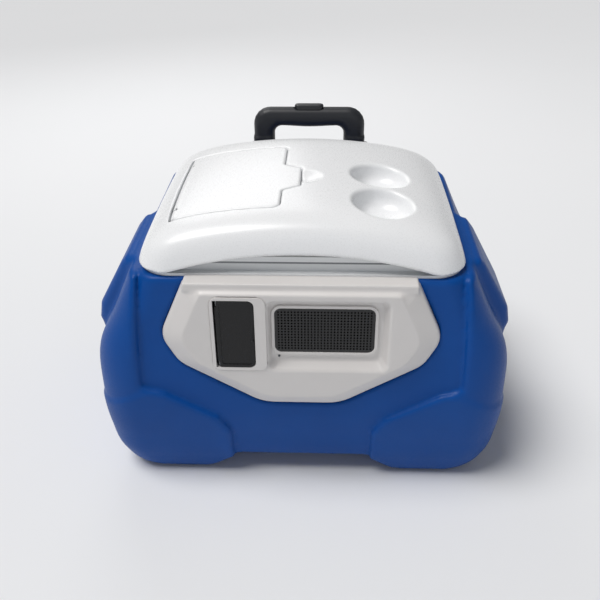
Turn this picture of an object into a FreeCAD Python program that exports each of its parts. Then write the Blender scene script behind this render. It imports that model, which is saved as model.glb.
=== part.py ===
"""Wheeled picnic cooler with a domed lid, a quick-access hatch, two cup holders, a raised front panel that
carries a loudspeaker and a charging compartment, and a telescopic pull handle behind the lid.

Millimetres. +X is to the right of someone facing the front, +Y points to the back, +Z is up. The origin is on
the ground, under the middle of the cooler's overall box. Each function makes one piece, or one group of
identical pieces, and the table at the end gives every piece its node name.
"""
import FreeCAD
import Part
import math
import os

V = FreeCAD.Vector

# ---------------------------------------------------------------- body: outer skin, seen from the front
BODY_HEIGHT = 326.0          # ground to the top deck of the blue body
BELLY_HALF = 283.0           # half width at the widest height
RIM_HALF = 226.0             # half width at the top deck
FRONT_Y = -236.0             # front face at the belly
BACK_Y = 181.0               # back face at the belly
SKIN = 4.0                   # wall of the moulded outer shell
FOOT_LIFT = 2.0              # the moulded feet end this far above the ground, on rubber pads
# share of the height, narrower than the belly by, front and back set in by, corner radius
BODY_RINGS = (
    (0.0, 45.0, 36.0, 40.0),
    (0.04, 27.0, 27.0, 42.0),
    (0.11, 13.0, 18.0, 45.0),
    (0.24, 4.0, 9.0, 50.0),
    (0.46, 0.0, 0.0, 54.0),
    (0.66, 6.0, 0.0, 54.0),
    (0.82, 30.0, 4.0, 48.0),
    (1.0, BELLY_HALF - RIM_HALF, 10.0, 42.0),
)
BACK_INSET_SHARE = 0.4       # the back is set in by this share of what the front is

# ---------------------------------------------------------------- body: relief on the front
RECESS_DEPTH = 9.0           # the middle of the front lies this far behind the corner posts
POST_EDGE_X = 212.0          # inner edge of each corner post
SHOE_TOP_Z = 164.0           # highest point of the raised corner shoe
SHOE_PROUD = 4.0             # the shoe stands this far proud of the post above it
SHOE_BACK_Y = -95.0          # rear end of the shoe along the side
SHOE_INNER_X = 97.0          # inner edge of the shoe near the ground
ARCH_HALF = 97.0             # half width of the flat top of the arch between the feet
ARCH_TOE = 42.0              # the arch widens by this much at the ground
ARCH_HEIGHT = 34.0           # clearance under the body
FOOT_BACK_Y = -80.0          # rear end of the front feet at the ground
FOOT_SLOPE = 22.0            # slope of the feet's rear end

# ---------------------------------------------------------------- side lifting ears
EAR_TOP_HALF = 240.0
EAR_REACH = 7.0              # the ears stand this far out past the belly
EAR_HALF = BELLY_HALF + EAR_REACH    # widest point of the cooler
EAR_TOP_Z = BODY_HEIGHT - 2.0
EAR_WIDE_Z = BODY_HEIGHT - 100.0
EAR_LOW_Z = BODY_HEIGHT - 128.0
EAR_FRONT_Y = -168.0
EAR_BACK_Y = 12.0
EAR_END_SLOPE = 16.0
GRIP_POCKET_FRONT_Y = -122.0
GRIP_POCKET_BACK_Y = -32.0
GRIP_POCKET_DEPTH = 32.0     # inward from the ear's widest point
GRIP_POCKET_HEIGHT = 30.0
GRIP_POCKET_HOOK = 18.0      # how far the fingers reach up behind the ear's lip
EAR_LIP = 18.0               # thickness of that lip

# ---------------------------------------------------------------- liner and top deck
LINER_HALF_TOP = 176.0
LINER_FRONT_TOP = -148.0
LINER_BACK_TOP = 116.0
LINER_DRAFT = 14.0           # the floor is smaller than the mouth by this much on each side
LINER_FLOOR_Z = 50.0
LINER_WALL = 3.0
LINER_CORNER = 40.0
DECK_FIT = 1.0               # gap between the liner's wall and the deck's opening
FLANGE_THICK = 4.0
COLLAR_HEIGHT = 10.0         # upstand on the flange that carries the lid's gasket
COLLAR_WALL = 6.0
COLLAR_INSET = 16.0          # collar's outer face, in from the lid's skirt

# ---------------------------------------------------------------- lid
LID_HALF = 212.0
LID_FRONT_Y = -216.0
LID_BACK_Y = 141.0
LID_CORNER = 46.0
LID_LIP_GAP = 2.0            # lid's lower edge above the flange
LID_CROWN_Z = BODY_HEIGHT + 78.0
LID_CROWN_Y = -50.0          # highest point of the crown
CROWN_SPAN = 165.0           # distance over which the crown drops by the next two values
CROWN_DROP_X = 18.0
CROWN_DROP_Y = 5.0
LID_DRAFT = 9.0              # the skirt leans in by this much over LID_DRAFT_HEIGHT
LID_DRAFT_HEIGHT = 70.0
EDGE_DROP = 30.0             # the crown falls by this much more at the skirt
EDGE_POWER = 10
LID_SKIN = 4.0
LIP_ARCH_RISE = 25.0         # finger arch in the front of the skirt
LIP_ARCH_HALF = 168.0
TRAY_GAP = 8.0               # between the skirt and the tray's rim wall
TRAY_WALL = 3.0
TRAY_RIM = 7.0              # height of the tray's rim wall
GASKET_HEIGHT = 4.0
GASKET_REST = 0.2            # running gap under the gasket
PLUG_DEPTH = 22.0
PLUG_FIT = 3.0               # between the plug and the liner's mouth

# ---------------------------------------------------------------- cup holders
CUP_X = 104.0
CUP_YS = (-133.0, -45.0)
CUP_RADIUS = 39.0
CUP_DEPTH = 30.0
CUP_WALL = 3.0

# ---------------------------------------------------------------- hatch in the lid, hinged on its left edge
HATCH_LEFT = -168.0
HATCH_RIGHT = -28.0
HATCH_FRONT = -161.0
HATCH_BACK = 53.0
HATCH_TAB_X = -4.0
HATCH_TAB_FRONT = -99.0
HATCH_TAB_BACK = -37.0
HATCH_TAB_SLOPE = 14.0
HATCH_CORNER = 10.0
HATCH_GAP = 1.2
HATCH_THICK = 6.5
HATCH_LEDGE = 8.0            # the hatch rests on a ledge this wide
HATCH_FRAME_WALL = 3.0
HATCH_PLUG_Z = LID_CROWN_Z - 46.0
HATCH_PLUG_FIT = 1.5
HATCH_SEAT = 0.5             # between the hatch and its ledge, filled by the seal
HATCH_SEAL_INSET = 2.5
HATCH_PIN_RADIUS = 2.0
HATCH_KNUCKLE_RADIUS = 5.0
HATCH_KNUCKLE_YS = (-114.0, 6.0)
HATCH_KNUCKLE_LENGTH = 26.0
HATCH_EYE_LENGTH = 7.0
HATCH_SIDE_GAP = 0.5
HATCH_GROOVE = 5.0           # the opening is wider than the hatch by this on its hinge side
HATCH_SWING = 9.4            # clearance radius about the hinge axis
SCOOP_RADIUS = 34.0          # shallow finger scoop beside the tab
SCOOP_DEPTH = 5.0

# ---------------------------------------------------------------- front panel
PANEL_TOP_Z = BODY_HEIGHT - 2.0
PANEL_SEAT_Y = -214.0        # flat seat cut into the body
PANEL_EDGE_Y = -229.0        # where the bevel starts
PANEL_FACE_Y = -240.0        # the flat face
PANEL_WALL = 3.0
PANEL_FIT = 0.6
# outline of the panel's edge, half width and distance below its top, going down; the other side is mirrored
PANEL_EDGE = ((148.0, 0.0, 4.0), (182.0, 76.0, 34.0), (160.0, 118.0, 40.0), (52.0, 182.0, 60.0))
# outline of the flat face
PANEL_FACE = ((124.0, 8.0, 4.0), (154.0, 76.0, 30.0), (134.0, 110.0, 34.0), (44.0, 163.0, 46.0))
BAY_HALF = 120.0             # pocket behind the panel for the electronics
BAY_TOP_DROP = 12.0          # below the panel's top
BAY_HEIGHT = 116.0
BAY_DEPTH = 48.0

# ---------------------------------------------------------------- loudspeaker in its recess
WELL_LEFT = -42.0            # mouth of the recess in the panel's face
WELL_RIGHT = 113.0
WELL_DROP_TOP = 16.0         # below the panel's top
WELL_DROP_BOTTOM = 121.0
WELL_DEPTH = 13.0
WELL_SLOPES = (4.0, 9.0, 10.0, 6.0)   # left, right, bottom and top walls lean in by these
WELL_CORNER = 9.0
SPEAKER_LEFT = -33.0
SPEAKER_RIGHT = 95.0
SPEAKER_DROP_TOP = 32.0
SPEAKER_DROP_BOTTOM = 98.0
SPEAKER_FRAME_WIDTH = 4.0
SPEAKER_FRAME_PROUD = 3.0
SPEAKER_CORNER = 9.0
GRILLE_THICK = 2.0
GRILLE_SET_BACK = 1.0
GRILLE_PITCH = 4.2
GRILLE_HOLE = 1.3
SPEAKER_BOX_DEPTH = 38.0
SPEAKER_BOX_WALL = 2.5
DRIVER_RADIUS = 25.0
DRIVER_SPACING = 66.0
DRIVER_FIT = 0.4
MAGNET_RADIUS = 14.0
MAGNET_LENGTH = 10.0
CONE_DEPTH = 9.0

# ---------------------------------------------------------------- charging compartment and its door
DOOR_LEFT = -108.0
DOOR_RIGHT = -58.0
DOOR_DROP_TOP = 16.0
DOOR_DROP_BOTTOM = 115.0
DOOR_CORNER = 8.0
DOOR_THICK = 4.0
DOOR_PROUD = 1.0
DOOR_GAP = 0.8
DOOR_BEZEL_WIDTH = 5.0
DOOR_BEZEL_STRIP = 15.0      # the bezel is wider on the side of the loudspeaker
DOOR_BEZEL_PROUD = 1.2
DOOR_PIN_RADIUS = 1.2
DOOR_KNUCKLE_RADIUS = 3.0
DOOR_DISH = 1.0             # the middle of the door is sunk this far inside its rim
PIN_FIT = 0.06
TRAY_BOX_WALL = 2.0
TRAY_BOX_DEPTH = 26.0
USB_WIDTH = 15.0
USB_HEIGHT = 8.0
USB_DEPTH = 16.0
USB_DROPS = (34.0, 54.0)
BUTTON_RADIUS = 7.0
BUTTON_DROP = 84.0
BUTTON_PROUD = 2.0
BUTTON_LENGTH = 8.0
BUTTON_FIT = 0.3
BATTERY_CELL_RADIUS = 9.2
BATTERY_CELL_LENGTH = 65.0
BATTERY_CELLS = 3
BOARD_THICK = 1.6
LED_RADIUS = 1.6
LED_LENGTH = 5.0

# ---------------------------------------------------------------- telescopic handle
SPINE_HALF = 112.0           # box on the body's back that carries the tubes
SPINE_BACK_Y = 218.0
SPINE_LOW_Z = 62.0
SPINE_CHAMFER = 14.0
TUBE_X = 76.0
TUBE_Y = 217.0
TUBE_SIZES = ((28.0, 20.0, 1.2), (24.0, 16.0, 1.1), (20.0, 12.0, 1.0))   # across X, across Y, wall
TUBE_CORNER = 5.0
CHANNEL_FIT = 1.2
TUBE_LOW_Z = 66.0
TUBE_STEP = 8.0              # each inner tube starts and ends this much higher when stowed
COLLAR_TOP = 6.0             # plastic guide ring on top of each tube
GRIP_HALF = 93.0
GRIP_LEG = 31.0
GRIP_DEPTH = 28.0
GRIP_LOW_Z = BODY_HEIGHT + 28.0
GRIP_TOP_Z = BODY_HEIGHT + 86.0
GRIP_BAR = 30.0
GRIP_OUTER_RADIUS = 28.0
GRIP_INNER_RADIUS = 12.0
GRIP_ROUNDING = 8.0
RELEASE_HALF = 24.0          # release button in the top of the grip
RELEASE_WIDTH = 15.0
RELEASE_PROUD = 5.0
RELEASE_TRAVEL = 4.0
RELEASE_FIT = 0.5
YOKE_THICK = 5.0
ROD_RADIUS = 2.5
PIN_RADIUS = 3.0
PIN_LENGTH = 7.0
BRACKET_HEIGHT = 22.0
BRACKET_OVERHANG = 10.0
BRACKET_BACK = 5.0
SCREW_RADIUS = 2.2
SCREW_HEAD_RADIUS = 4.2
SCREW_HEAD = 2.4
SCREW_LENGTH = 12.0
STRAP_WALL = 4.0
STRAP_LOW_Z = 92.0
STRAP_HEIGHT = 20.0
STRAP_SCREW_INSET = 40.0     # the strap's screws sit this far inside the tubes' centres
SLIDE_FIT = 0.3
YOKE_HALF = 3.5
RELEASE_SKIN = 6.0           # the yoke lies this far below the top of the grip
ROD_END = 8.0
SPRING_TURNS = 5
SPRING_WIRE = 1.2
SPRING_RADIUS = 4.0
SPRING_LENGTH = 11.0

# ---------------------------------------------------------------- wheels
WHEEL_RADIUS = 72.0
WHEEL_Y = 169.0
WHEEL_INNER_X = 225.0
WHEEL_WIDTH = 42.0
WELL_CLEARANCE = 11.0
WELL_INNER_X = 216.0
TYRE_THICK = 15.0
HUB_RADIUS = 15.0
AXLE_RADIUS = 6.0
AXLE_FIT = 0.06
BUSH_WALL = 2.5
AXLE_TUBE_WALL = 1.5
AXLE_CAP_RADIUS = 11.0
AXLE_CAP_THICK = 5.0
SPOKE_HOLES = 6
SPOKE_HOLE_RADIUS = 9.0
SPOKE_CIRCLE = 36.0
RIM_WEB = 10.0

# ---------------------------------------------------------------- lid hinges
HINGE_X = 122.0
HINGE_Y = LID_BACK_Y + 11.0
HINGE_Z = BODY_HEIGHT + 26.0
HINGE_HALF = 20.0
HINGE_KNUCKLE = 7.0
HINGE_PIN_RADIUS = 3.0
HINGE_PIN_FIT = 0.06
HINGE_EYE = 9.0
HINGE_SIDE_GAP = 0.5
HINGE_LEAF = 4.0
HINGE_LEAF_TOP = BODY_HEIGHT + 34.0

# ---------------------------------------------------------------- drain
DRAIN_Y = 10.0
DRAIN_Z = 64.0
DRAIN_TUBE_RADIUS = 10.0
DRAIN_TUBE_BORE = 7.0
DRAIN_RECESS_RADIUS = 25.0    # flat round recess in the side that the drain sits in
DRAIN_RECESS_DEPTH = 21.0    # measured from the belly
DRAIN_FLANGE = 16.0
DRAIN_FLANGE_THICK = 2.5
DRAIN_THREAD_OUT = 12.0
DRAIN_NUT_THICK = 5.0
DRAIN_NUT_RADIUS = 17.0
DRAIN_CAP_RADIUS = 15.0
DRAIN_CAP_WALL = 3.0
DRAIN_CAP_FIT = 0.3
DRAIN_CAP_RIBS = 16

# ---------------------------------------------------------------- foot pads
PAD_LENGTH = 74.0
PAD_WIDTH = 58.0
PAD_DEPTH = 4.0
PAD_CORNER = 14.0

FAR = 500.0


# ================================================================ small helpers
def box(x0, x1, y0, y1, z0, z1):
    """A block between two corners."""
    return Part.makeBox(x1 - x0, y1 - y0, z1 - z0, V(x0, y0, z0))


def mirrored(shape):
    """The same shape on the other side of the middle plane."""
    return shape.mirror(V(0, 0, 0), V(1, 0, 0))


def both_sides(shape):
    """The shape and its mirror image, as two solids."""
    return [shape, mirrored(shape)]


def joined(shapes):
    """Several touching solids made into one."""
    whole = shapes[0]
    for one in shapes[1:]:
        whole = whole.fuse(one)
    return whole.removeSplitter()


def rounded_outline(corners, place):
    """A closed wire through (u, v, radius) corners, each rounded by its radius. place(u, v) gives the 3-D point."""
    count = len(corners)
    edges = []
    ends = []
    for k in range(count):
        u, v, radius = corners[k]
        here = V(u, v, 0)
        before = V(corners[k - 1][0], corners[k - 1][1], 0) - here
        after = V(corners[(k + 1) % count][0], corners[(k + 1) % count][1], 0) - here
        before.normalize()
        after.normalize()
        half = before.getAngle(after) / 2
        reach = radius / math.tan(half)
        middle = before + after
        middle.normalize()
        centre = here + middle * (radius / math.sin(half))
        crown = centre - middle * radius
        ends.append((here + before * reach, crown, here + after * reach))
    for k in range(count):
        first, crown, last = (place(p.x, p.y) for p in ends[k])
        start = ends[(k + 1) % count][0]
        edges.append(Part.Arc(first, crown, last).toShape())
        edges.append(Part.LineSegment(last, place(start.x, start.y)).toShape())
    return Part.Wire(edges)


def along_y(corners, y0, y1):
    """Solid with an (x, z, radius) outline, from y0 to y1."""
    wire = rounded_outline(corners, lambda u, v: V(u, y0, v))
    return Part.Face(wire).extrude(V(0, y1 - y0, 0))


def along_z(corners, z0, z1):
    """Solid with an (x, y, radius) outline, from z0 to z1."""
    wire = rounded_outline(corners, lambda u, v: V(u, v, z0))
    return Part.Face(wire).extrude(V(0, 0, z1 - z0))


def polygon_y(points, y0, y1):
    """Solid with a sharp (x, z) outline, from y0 to y1."""
    wire = Part.makePolygon([V(x, y0, z) for x, z in points + points[:1]])
    return Part.Face(wire).extrude(V(0, y1 - y0, 0))


def polygon_x(points, x0, x1):
    """Solid with a sharp (y, z) outline, from x0 to x1."""
    wire = Part.makePolygon([V(x0, y, z) for y, z in points + points[:1]])
    return Part.Face(wire).extrude(V(x1 - x0, 0, 0))


def rectangle(x0, x1, y0, y1, radius):
    """Corners of a rounded rectangle, for the outline functions."""
    return [(x0, y0, radius), (x1, y0, radius), (x1, y1, radius), (x0, y1, radius)]


def rod_x(radius, x0, x1, y, z):
    return Part.makeCylinder(radius, x1 - x0, V(x0, y, z), V(1, 0, 0))


def rod_y(radius, y0, y1, x, z):
    return Part.makeCylinder(radius, y1 - y0, V(x, y0, z), V(0, 1, 0))


def rod_z(radius, z0, z1, x, y):
    return Part.makeCylinder(radius, z1 - z0, V(x, y, z0), V(0, 0, 1))


def turned_x(profile, y, z):
    """Solid of revolution about an axis along X through (y, z). The profile is a list of (x, radius)."""
    wire = Part.makePolygon([V(x, y, z + r) for x, r in profile + profile[:1]])
    return Part.Face(wire).revolve(V(0, y, z), V(1, 0, 0), 360)


def shank(head_at, direction):
    """The screw's threaded part alone, which is also the hole it is driven into."""
    return Part.makeCylinder(SCREW_RADIUS, SCREW_LENGTH, head_at, direction)


def screw(head_at, direction):
    """A pan-head screw. head_at is the underside of the head, direction the way it is driven."""
    head = Part.makeCylinder(SCREW_HEAD_RADIUS, SCREW_HEAD, head_at, direction * -1)
    socket = Part.makeCylinder(SCREW_HEAD_RADIUS * 0.4, SCREW_HEAD / 2, head_at - direction * SCREW_HEAD, direction)
    return head.cut(socket).fuse(shank(head_at, direction)).removeSplitter()


# ================================================================ body skin
def ring_half_and_y(ring, inset):
    """Half width, front, back and corner radius of one level of the body, with its skin moved in by inset."""
    _, narrower, set_in, corner = ring
    return (
        BELLY_HALF - narrower - inset,
        FRONT_Y + set_in + inset,
        BACK_Y - set_in * BACK_INSET_SHARE - inset,
        corner - inset,
    )


def body_form(inset, low, high):
    """The body's plain outer form, moved in by inset, as one smooth loft between the heights low and high."""
    rings = []
    for ring in BODY_RINGS:
        half, front, back, corner = ring_half_and_y(ring, inset)
        z = low + ring[0] * (high - low)
        rings.append(rounded_outline(
            rectangle(-half, half, front, back, corner),
            lambda u, v, z=z: V(u, v, z),
        ))
    return Part.makeLoft(rings, True, False)


def recess_outline(grow):
    """The sunken middle of the front: corner posts at its sides, corner shoes below."""
    post = POST_EDGE_X + grow
    shoe = SHOE_INNER_X + grow
    right = [
        (post - 12, FAR),
        (post, SHOE_TOP_Z + 50),
        (post, SHOE_TOP_Z + 6 - grow),
        (post - 24, SHOE_TOP_Z - 2 - grow),
        (shoe + 18, SHOE_TOP_Z - 46 - grow),
        (shoe, SHOE_TOP_Z - 72 - grow),
        (shoe, -20.0),
    ]
    return right + [(-x, z) for x, z in reversed(right)]


def recess_tool(form, grow):
    """What is taken off the front to leave its middle sunken. form is the body moved in to the recess's floor."""
    return polygon_y(recess_outline(grow), -FAR, -110).cut(form)


def shoe_outline(side):
    points = [
        (BELLY_HALF + 30, SHOE_TOP_Z - 40),
        (BELLY_HALF - 22, SHOE_TOP_Z - 28),
        (POST_EDGE_X - 6, SHOE_TOP_Z),
        (POST_EDGE_X - 26, SHOE_TOP_Z - 4),
        (SHOE_INNER_X + 16, SHOE_TOP_Z - 48),
        (SHOE_INNER_X, SHOE_TOP_Z - 74),
        (SHOE_INNER_X, -20.0),
        (BELLY_HALF + 30, -20.0),
    ]
    return [(side * x, z) for x, z in points]


def corner_shoe(form, side):
    """Raised corner at the front that carries a foot. form is the body moved out to the shoe's face."""
    return form.common(polygon_y(shoe_outline(side), -FAR, SHOE_BACK_Y))


def ear(inset):
    """Lifting ear along the top of the right side, moved in by inset."""
    outline = [
        (RIM_HALF - 30, EAR_TOP_Z - inset),
        (EAR_TOP_HALF - 4, EAR_TOP_Z - inset),
        (EAR_TOP_HALF + 6 - inset, EAR_TOP_Z - 10 - inset / 2),
        (EAR_HALF - 3 - inset, EAR_WIDE_Z + 14),
        (EAR_HALF - inset, EAR_WIDE_Z - 8),
        (EAR_HALF - 7 - inset, EAR_LOW_Z + 4 + inset),
        (EAR_HALF - 22, EAR_LOW_Z + inset),
        (RIM_HALF - 30, EAR_LOW_Z + inset),
    ]
    solid = polygon_y(outline, EAR_FRONT_Y + inset, EAR_BACK_Y - inset)
    reach = EAR_HALF - RIM_HALF + 20
    for end, way in ((EAR_FRONT_Y + inset, 1), (EAR_BACK_Y - inset, -1)):
        wedge = Part.makePolygon([
            V(EAR_HALF + 1, end, 0),
            V(EAR_HALF + 1, end + way * EAR_END_SLOPE * 1.6, 0),
            V(EAR_HALF - reach, end, 0),
            V(EAR_HALF + 1, end, 0),
        ])
        solid = solid.cut(Part.Face(wedge).extrude(V(0, 0, FAR)))
    return solid


def ear_pocket(grow):
    """Finger pocket under and behind the right ear, grown by grow for the wall around it."""
    inner = EAR_HALF - GRIP_POCKET_DEPTH - grow
    low = EAR_LOW_Z - GRIP_POCKET_HEIGHT - grow
    hook = EAR_LOW_Z + GRIP_POCKET_HOOK + grow
    lip = EAR_HALF - EAR_LIP - grow
    outline = [
        (EAR_HALF + 20, low),
        (inner + 10, low),
        (inner, low + 10),
        (inner, hook),
        (lip - 4 + 2 * grow, hook),
        (lip + 2 * grow, EAR_LOW_Z),
        (EAR_HALF + 20, EAR_LOW_Z),
    ]
    return polygon_y(outline, GRIP_POCKET_FRONT_Y - grow, GRIP_POCKET_BACK_Y + grow)


def spine(inset):
    """Box on the back that carries the handle's tubes, moved in by inset."""
    half = SPINE_HALF - inset
    back = SPINE_BACK_Y - inset
    chamfer = SPINE_CHAMFER
    plan = [(-half, BACK_Y - 30), (half, BACK_Y - 30), (half, back - chamfer), (half - chamfer, back),
            (-half + chamfer, back), (-half, back - chamfer)]
    wire = Part.makePolygon([V(x, y, SPINE_LOW_Z + inset) for x, y in plan + plan[:1]])
    solid = Part.Face(wire).extrude(V(0, 0, BODY_HEIGHT - inset - SPINE_LOW_Z - inset))
    slope = SPINE_BACK_Y - BACK_Y
    under = [(BACK_Y - 20, SPINE_LOW_Z - 1), (back + 1, SPINE_LOW_Z - 1), (back + 1, SPINE_LOW_Z + slope * 0.6)]
    return solid.cut(polygon_x(under, -FAR, FAR))


def tube_channel(grow):
    """Groove in the spine for the right tube."""
    across, deep, _ = TUBE_SIZES[0]
    half = across / 2 + CHANNEL_FIT + grow
    front = TUBE_Y - deep / 2 - CHANNEL_FIT - grow
    return box(TUBE_X - half, TUBE_X + half, front, FAR, -FAR, FAR)


def wheel_well(grow):
    """Space for the right wheel, grown by grow for the wall around it."""
    return rod_x(WHEEL_RADIUS + WELL_CLEARANCE + grow, WELL_INNER_X - grow, FAR, WHEEL_Y, WHEEL_RADIUS)


def underside(grow):
    """What is taken off below the body, to leave two feet in front and room for the axle's load behind."""
    top = ARCH_HEIGHT + grow
    toe = ARCH_HALF + ARCH_TOE + grow
    arch = [(-toe - 3, -20), (-toe, FOOT_LIFT), (-ARCH_HALF - 14, top - 8), (-ARCH_HALF + 6, top),
            (ARCH_HALF - 6, top), (ARCH_HALF + 14, top - 8), (toe, FOOT_LIFT), (toe + 3, -20)]
    rear = [(FOOT_BACK_Y - grow - 2, -20), (FOOT_BACK_Y - grow, FOOT_LIFT),
            (FOOT_BACK_Y + FOOT_SLOPE - grow, top), (FAR, top), (FAR, -20)]
    return polygon_y(arch, -FAR, FAR).fuse(polygon_x(rear, -FAR, FAR))


def panel_outline(points):
    """Mirrored corners of the panel, as (x, z, radius), going round."""
    right = [(x, PANEL_TOP_Z - drop, radius) for x, drop, radius in points]
    return right + [(-x, z, radius) for x, z, radius in reversed(right)]


def grown_outline(points, grow):
    """The same corners moved outwards by about grow."""
    return [(x + grow, drop + (grow if drop > 100 else 0), radius + grow) for x, drop, radius in points]


def panel_seat(grow):
    outline = panel_outline(grown_outline(PANEL_EDGE, PANEL_FIT + grow))
    return along_y(outline, -FAR, PANEL_SEAT_Y + grow)


def bay(grow):
    top = PANEL_TOP_Z - BAY_TOP_DROP + grow
    return box(-BAY_HALF - grow, BAY_HALF + grow, PANEL_SEAT_Y - 1, PANEL_SEAT_Y + BAY_DEPTH + grow,
               top - BAY_HEIGHT - 2 * grow, top)


def liner_form(grow, low, high):
    """The liner's inner form, grown by grow, between two heights."""
    rings = []
    for z in (low, high):
        share = (BODY_HEIGHT - z) / (BODY_HEIGHT - LINER_FLOOR_Z)
        draft = LINER_DRAFT * share
        rings.append(rounded_outline(
            rectangle(-LINER_HALF_TOP + draft - grow, LINER_HALF_TOP - draft + grow,
                      LINER_FRONT_TOP + draft - grow, LINER_BACK_TOP - draft + grow, LINER_CORNER + grow),
            lambda u, v, z=z: V(u, v, z),
        ))
    return Part.makeLoft(rings, True, True)


def drain_wall_x():
    """X of the flat floor of the drain's recess."""
    return BELLY_HALF - DRAIN_RECESS_DEPTH


def drain_recess(grow):
    return rod_x(DRAIN_RECESS_RADIUS + grow, drain_wall_x() - grow, FAR, DRAIN_Y, DRAIN_Z)


def body_solid_and_cavity():
    """The body's outer solid, and the space inside its skin that the foam fills."""
    outer = body_form(0, FOOT_LIFT, BODY_HEIGHT)
    outer = outer.cut(recess_tool(body_form(RECESS_DEPTH, FOOT_LIFT - 5, BODY_HEIGHT + 5), 0))
    proud = body_form(-SHOE_PROUD, FOOT_LIFT, BODY_HEIGHT)
    for side in (1, -1):
        outer = outer.fuse(corner_shoe(proud, side))
    for one in both_sides(ear(0)) + [spine(0)]:
        outer = outer.fuse(one)
    taken = [underside(0), panel_seat(0), bay(0), drain_recess(0)]
    for tool in (wheel_well(0), ear_pocket(0), tube_channel(0)):
        taken += both_sides(tool)
    outer = outer.cut(taken)

    cavity = body_form(SKIN, FOOT_LIFT + SKIN, BODY_HEIGHT - SKIN)
    cavity = cavity.cut(recess_tool(body_form(RECESS_DEPTH + SKIN, FOOT_LIFT, BODY_HEIGHT), SKIN))
    for one in both_sides(ear(SKIN)) + [spine(SKIN)]:
        cavity = cavity.fuse(one)
    taken = [underside(SKIN), panel_seat(SKIN), bay(SKIN), drain_recess(SKIN)]
    for tool in (wheel_well(SKIN), ear_pocket(SKIN), tube_channel(SKIN)):
        taken += both_sides(tool)
    top_trim = box(-FAR, FAR, -FAR, FAR, BODY_HEIGHT - SKIN, FAR)
    return outer, cavity.cut(taken + [top_trim])


def axle_hole():
    return rod_x(AXLE_RADIUS + AXLE_FIT + AXLE_TUBE_WALL, -FAR, FAR, WHEEL_Y, WHEEL_RADIUS)


def drain_hole():
    return rod_x(DRAIN_TUBE_RADIUS, 0, FAR, DRAIN_Y, DRAIN_Z)


def pad_pocket(side):
    """Shallow pocket under a front foot that holds its rubber pad."""
    x = side * (BELLY_HALF - BODY_RINGS[0][1] - 12 - PAD_WIDTH / 2 - 14)
    y = (FRONT_Y + BODY_RINGS[0][2] + FOOT_BACK_Y) / 2
    corners = rectangle(x - PAD_WIDTH / 2, x + PAD_WIDTH / 2, y - PAD_LENGTH / 2, y + PAD_LENGTH / 2, PAD_CORNER)
    return along_z(corners, 0, PAD_DEPTH)


def screw_holes():
    """Every hole that a screw is driven into in the body."""
    held = [shank(at, way) for at, way in panel_clip_set() + handle_screw_set()]
    return held + [shank(at, way) for at, way in hinge_screw_set()]


def outer_shell(outer, cavity):
    shell = outer.cut(cavity)
    mouth = liner_form(LINER_WALL + DECK_FIT, BODY_HEIGHT - SKIN - 1, BODY_HEIGHT + 1)
    return shell.cut([mouth, axle_hole(), drain_hole(), pad_pocket(1), pad_pocket(-1)] + screw_holes())


def insulation_foam(cavity):
    liner = liner_form(LINER_WALL, LINER_FLOOR_Z - LINER_WALL, BODY_HEIGHT + 1)
    return cavity.cut([liner, axle_hole(), drain_hole()] + screw_holes())


def inner_liner():
    """White tub, its flange on the deck, and the collar that carries the lid's gasket."""
    tub = liner_form(LINER_WALL, LINER_FLOOR_Z - LINER_WALL, BODY_HEIGHT + FLANGE_THICK)
    low, high = BODY_HEIGHT, BODY_HEIGHT + FLANGE_THICK
    skirt = LID_SKIN + 2
    flange = along_z(rectangle(-LID_HALF + skirt, LID_HALF - skirt, LID_FRONT_Y + skirt, LID_BACK_Y - skirt,
                               LID_CORNER - skirt), low, high)
    outer = COLLAR_INSET
    inner = COLLAR_INSET + COLLAR_WALL
    rim = [along_z(rectangle(-LID_HALF + k, LID_HALF - k, LID_FRONT_Y + k, LID_BACK_Y - k, LID_CORNER - k / 2),
                   high, high + COLLAR_HEIGHT) for k in (outer, inner)]
    whole = joined([tub, flange, rim[0].cut(rim[1])])
    hollow = liner_form(0, LINER_FLOOR_Z, BODY_HEIGHT + FLANGE_THICK + 1)
    return whole.cut([hollow, drain_hole()])


def foot_pads():
    return [pad_pocket(1), pad_pocket(-1)]


# ================================================================ lid
LIP_Z = BODY_HEIGHT + FLANGE_THICK + LID_LIP_GAP
TRAY_Z = BODY_HEIGHT + FLANGE_THICK + COLLAR_HEIGHT + GASKET_REST + GASKET_HEIGHT
PLUG_Z = TRAY_Z - PLUG_DEPTH


def crown_z(x, y):
    """Height of the lid's top: gently domed in the middle and rolled down towards the skirt."""
    middle = (LID_FRONT_Y + LID_BACK_Y) / 2
    half = (LID_BACK_Y - LID_FRONT_Y) / 2
    dome = CROWN_DROP_X * (x / CROWN_SPAN) ** 2 + CROWN_DROP_Y * ((y - LID_CROWN_Y) / CROWN_SPAN) ** 2
    edge = abs(x / LID_HALF) ** EDGE_POWER + abs((y - middle) / half) ** EDGE_POWER
    return LID_CROWN_Z - dome - EDGE_DROP * edge


def crown_block(inset):
    """Everything below the crown, moved down by inset."""
    steps = 23
    beyond = 6.0
    rows = []
    for i in range(steps):
        x = (LID_HALF + beyond) * (2 * i / (steps - 1) - 1)
        depth = LID_BACK_Y - LID_FRONT_Y + 2 * beyond
        rows.append([V(x, y, crown_z(x, y) - inset)
                     for y in (LID_FRONT_Y - beyond + j * depth / (steps - 1) for j in range(steps))])
    surface = Part.BSplineSurface()
    surface.interpolate(rows)
    return surface.toShape().extrude(V(0, 0, -(LID_CROWN_Z - BODY_HEIGHT) * 2))


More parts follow.
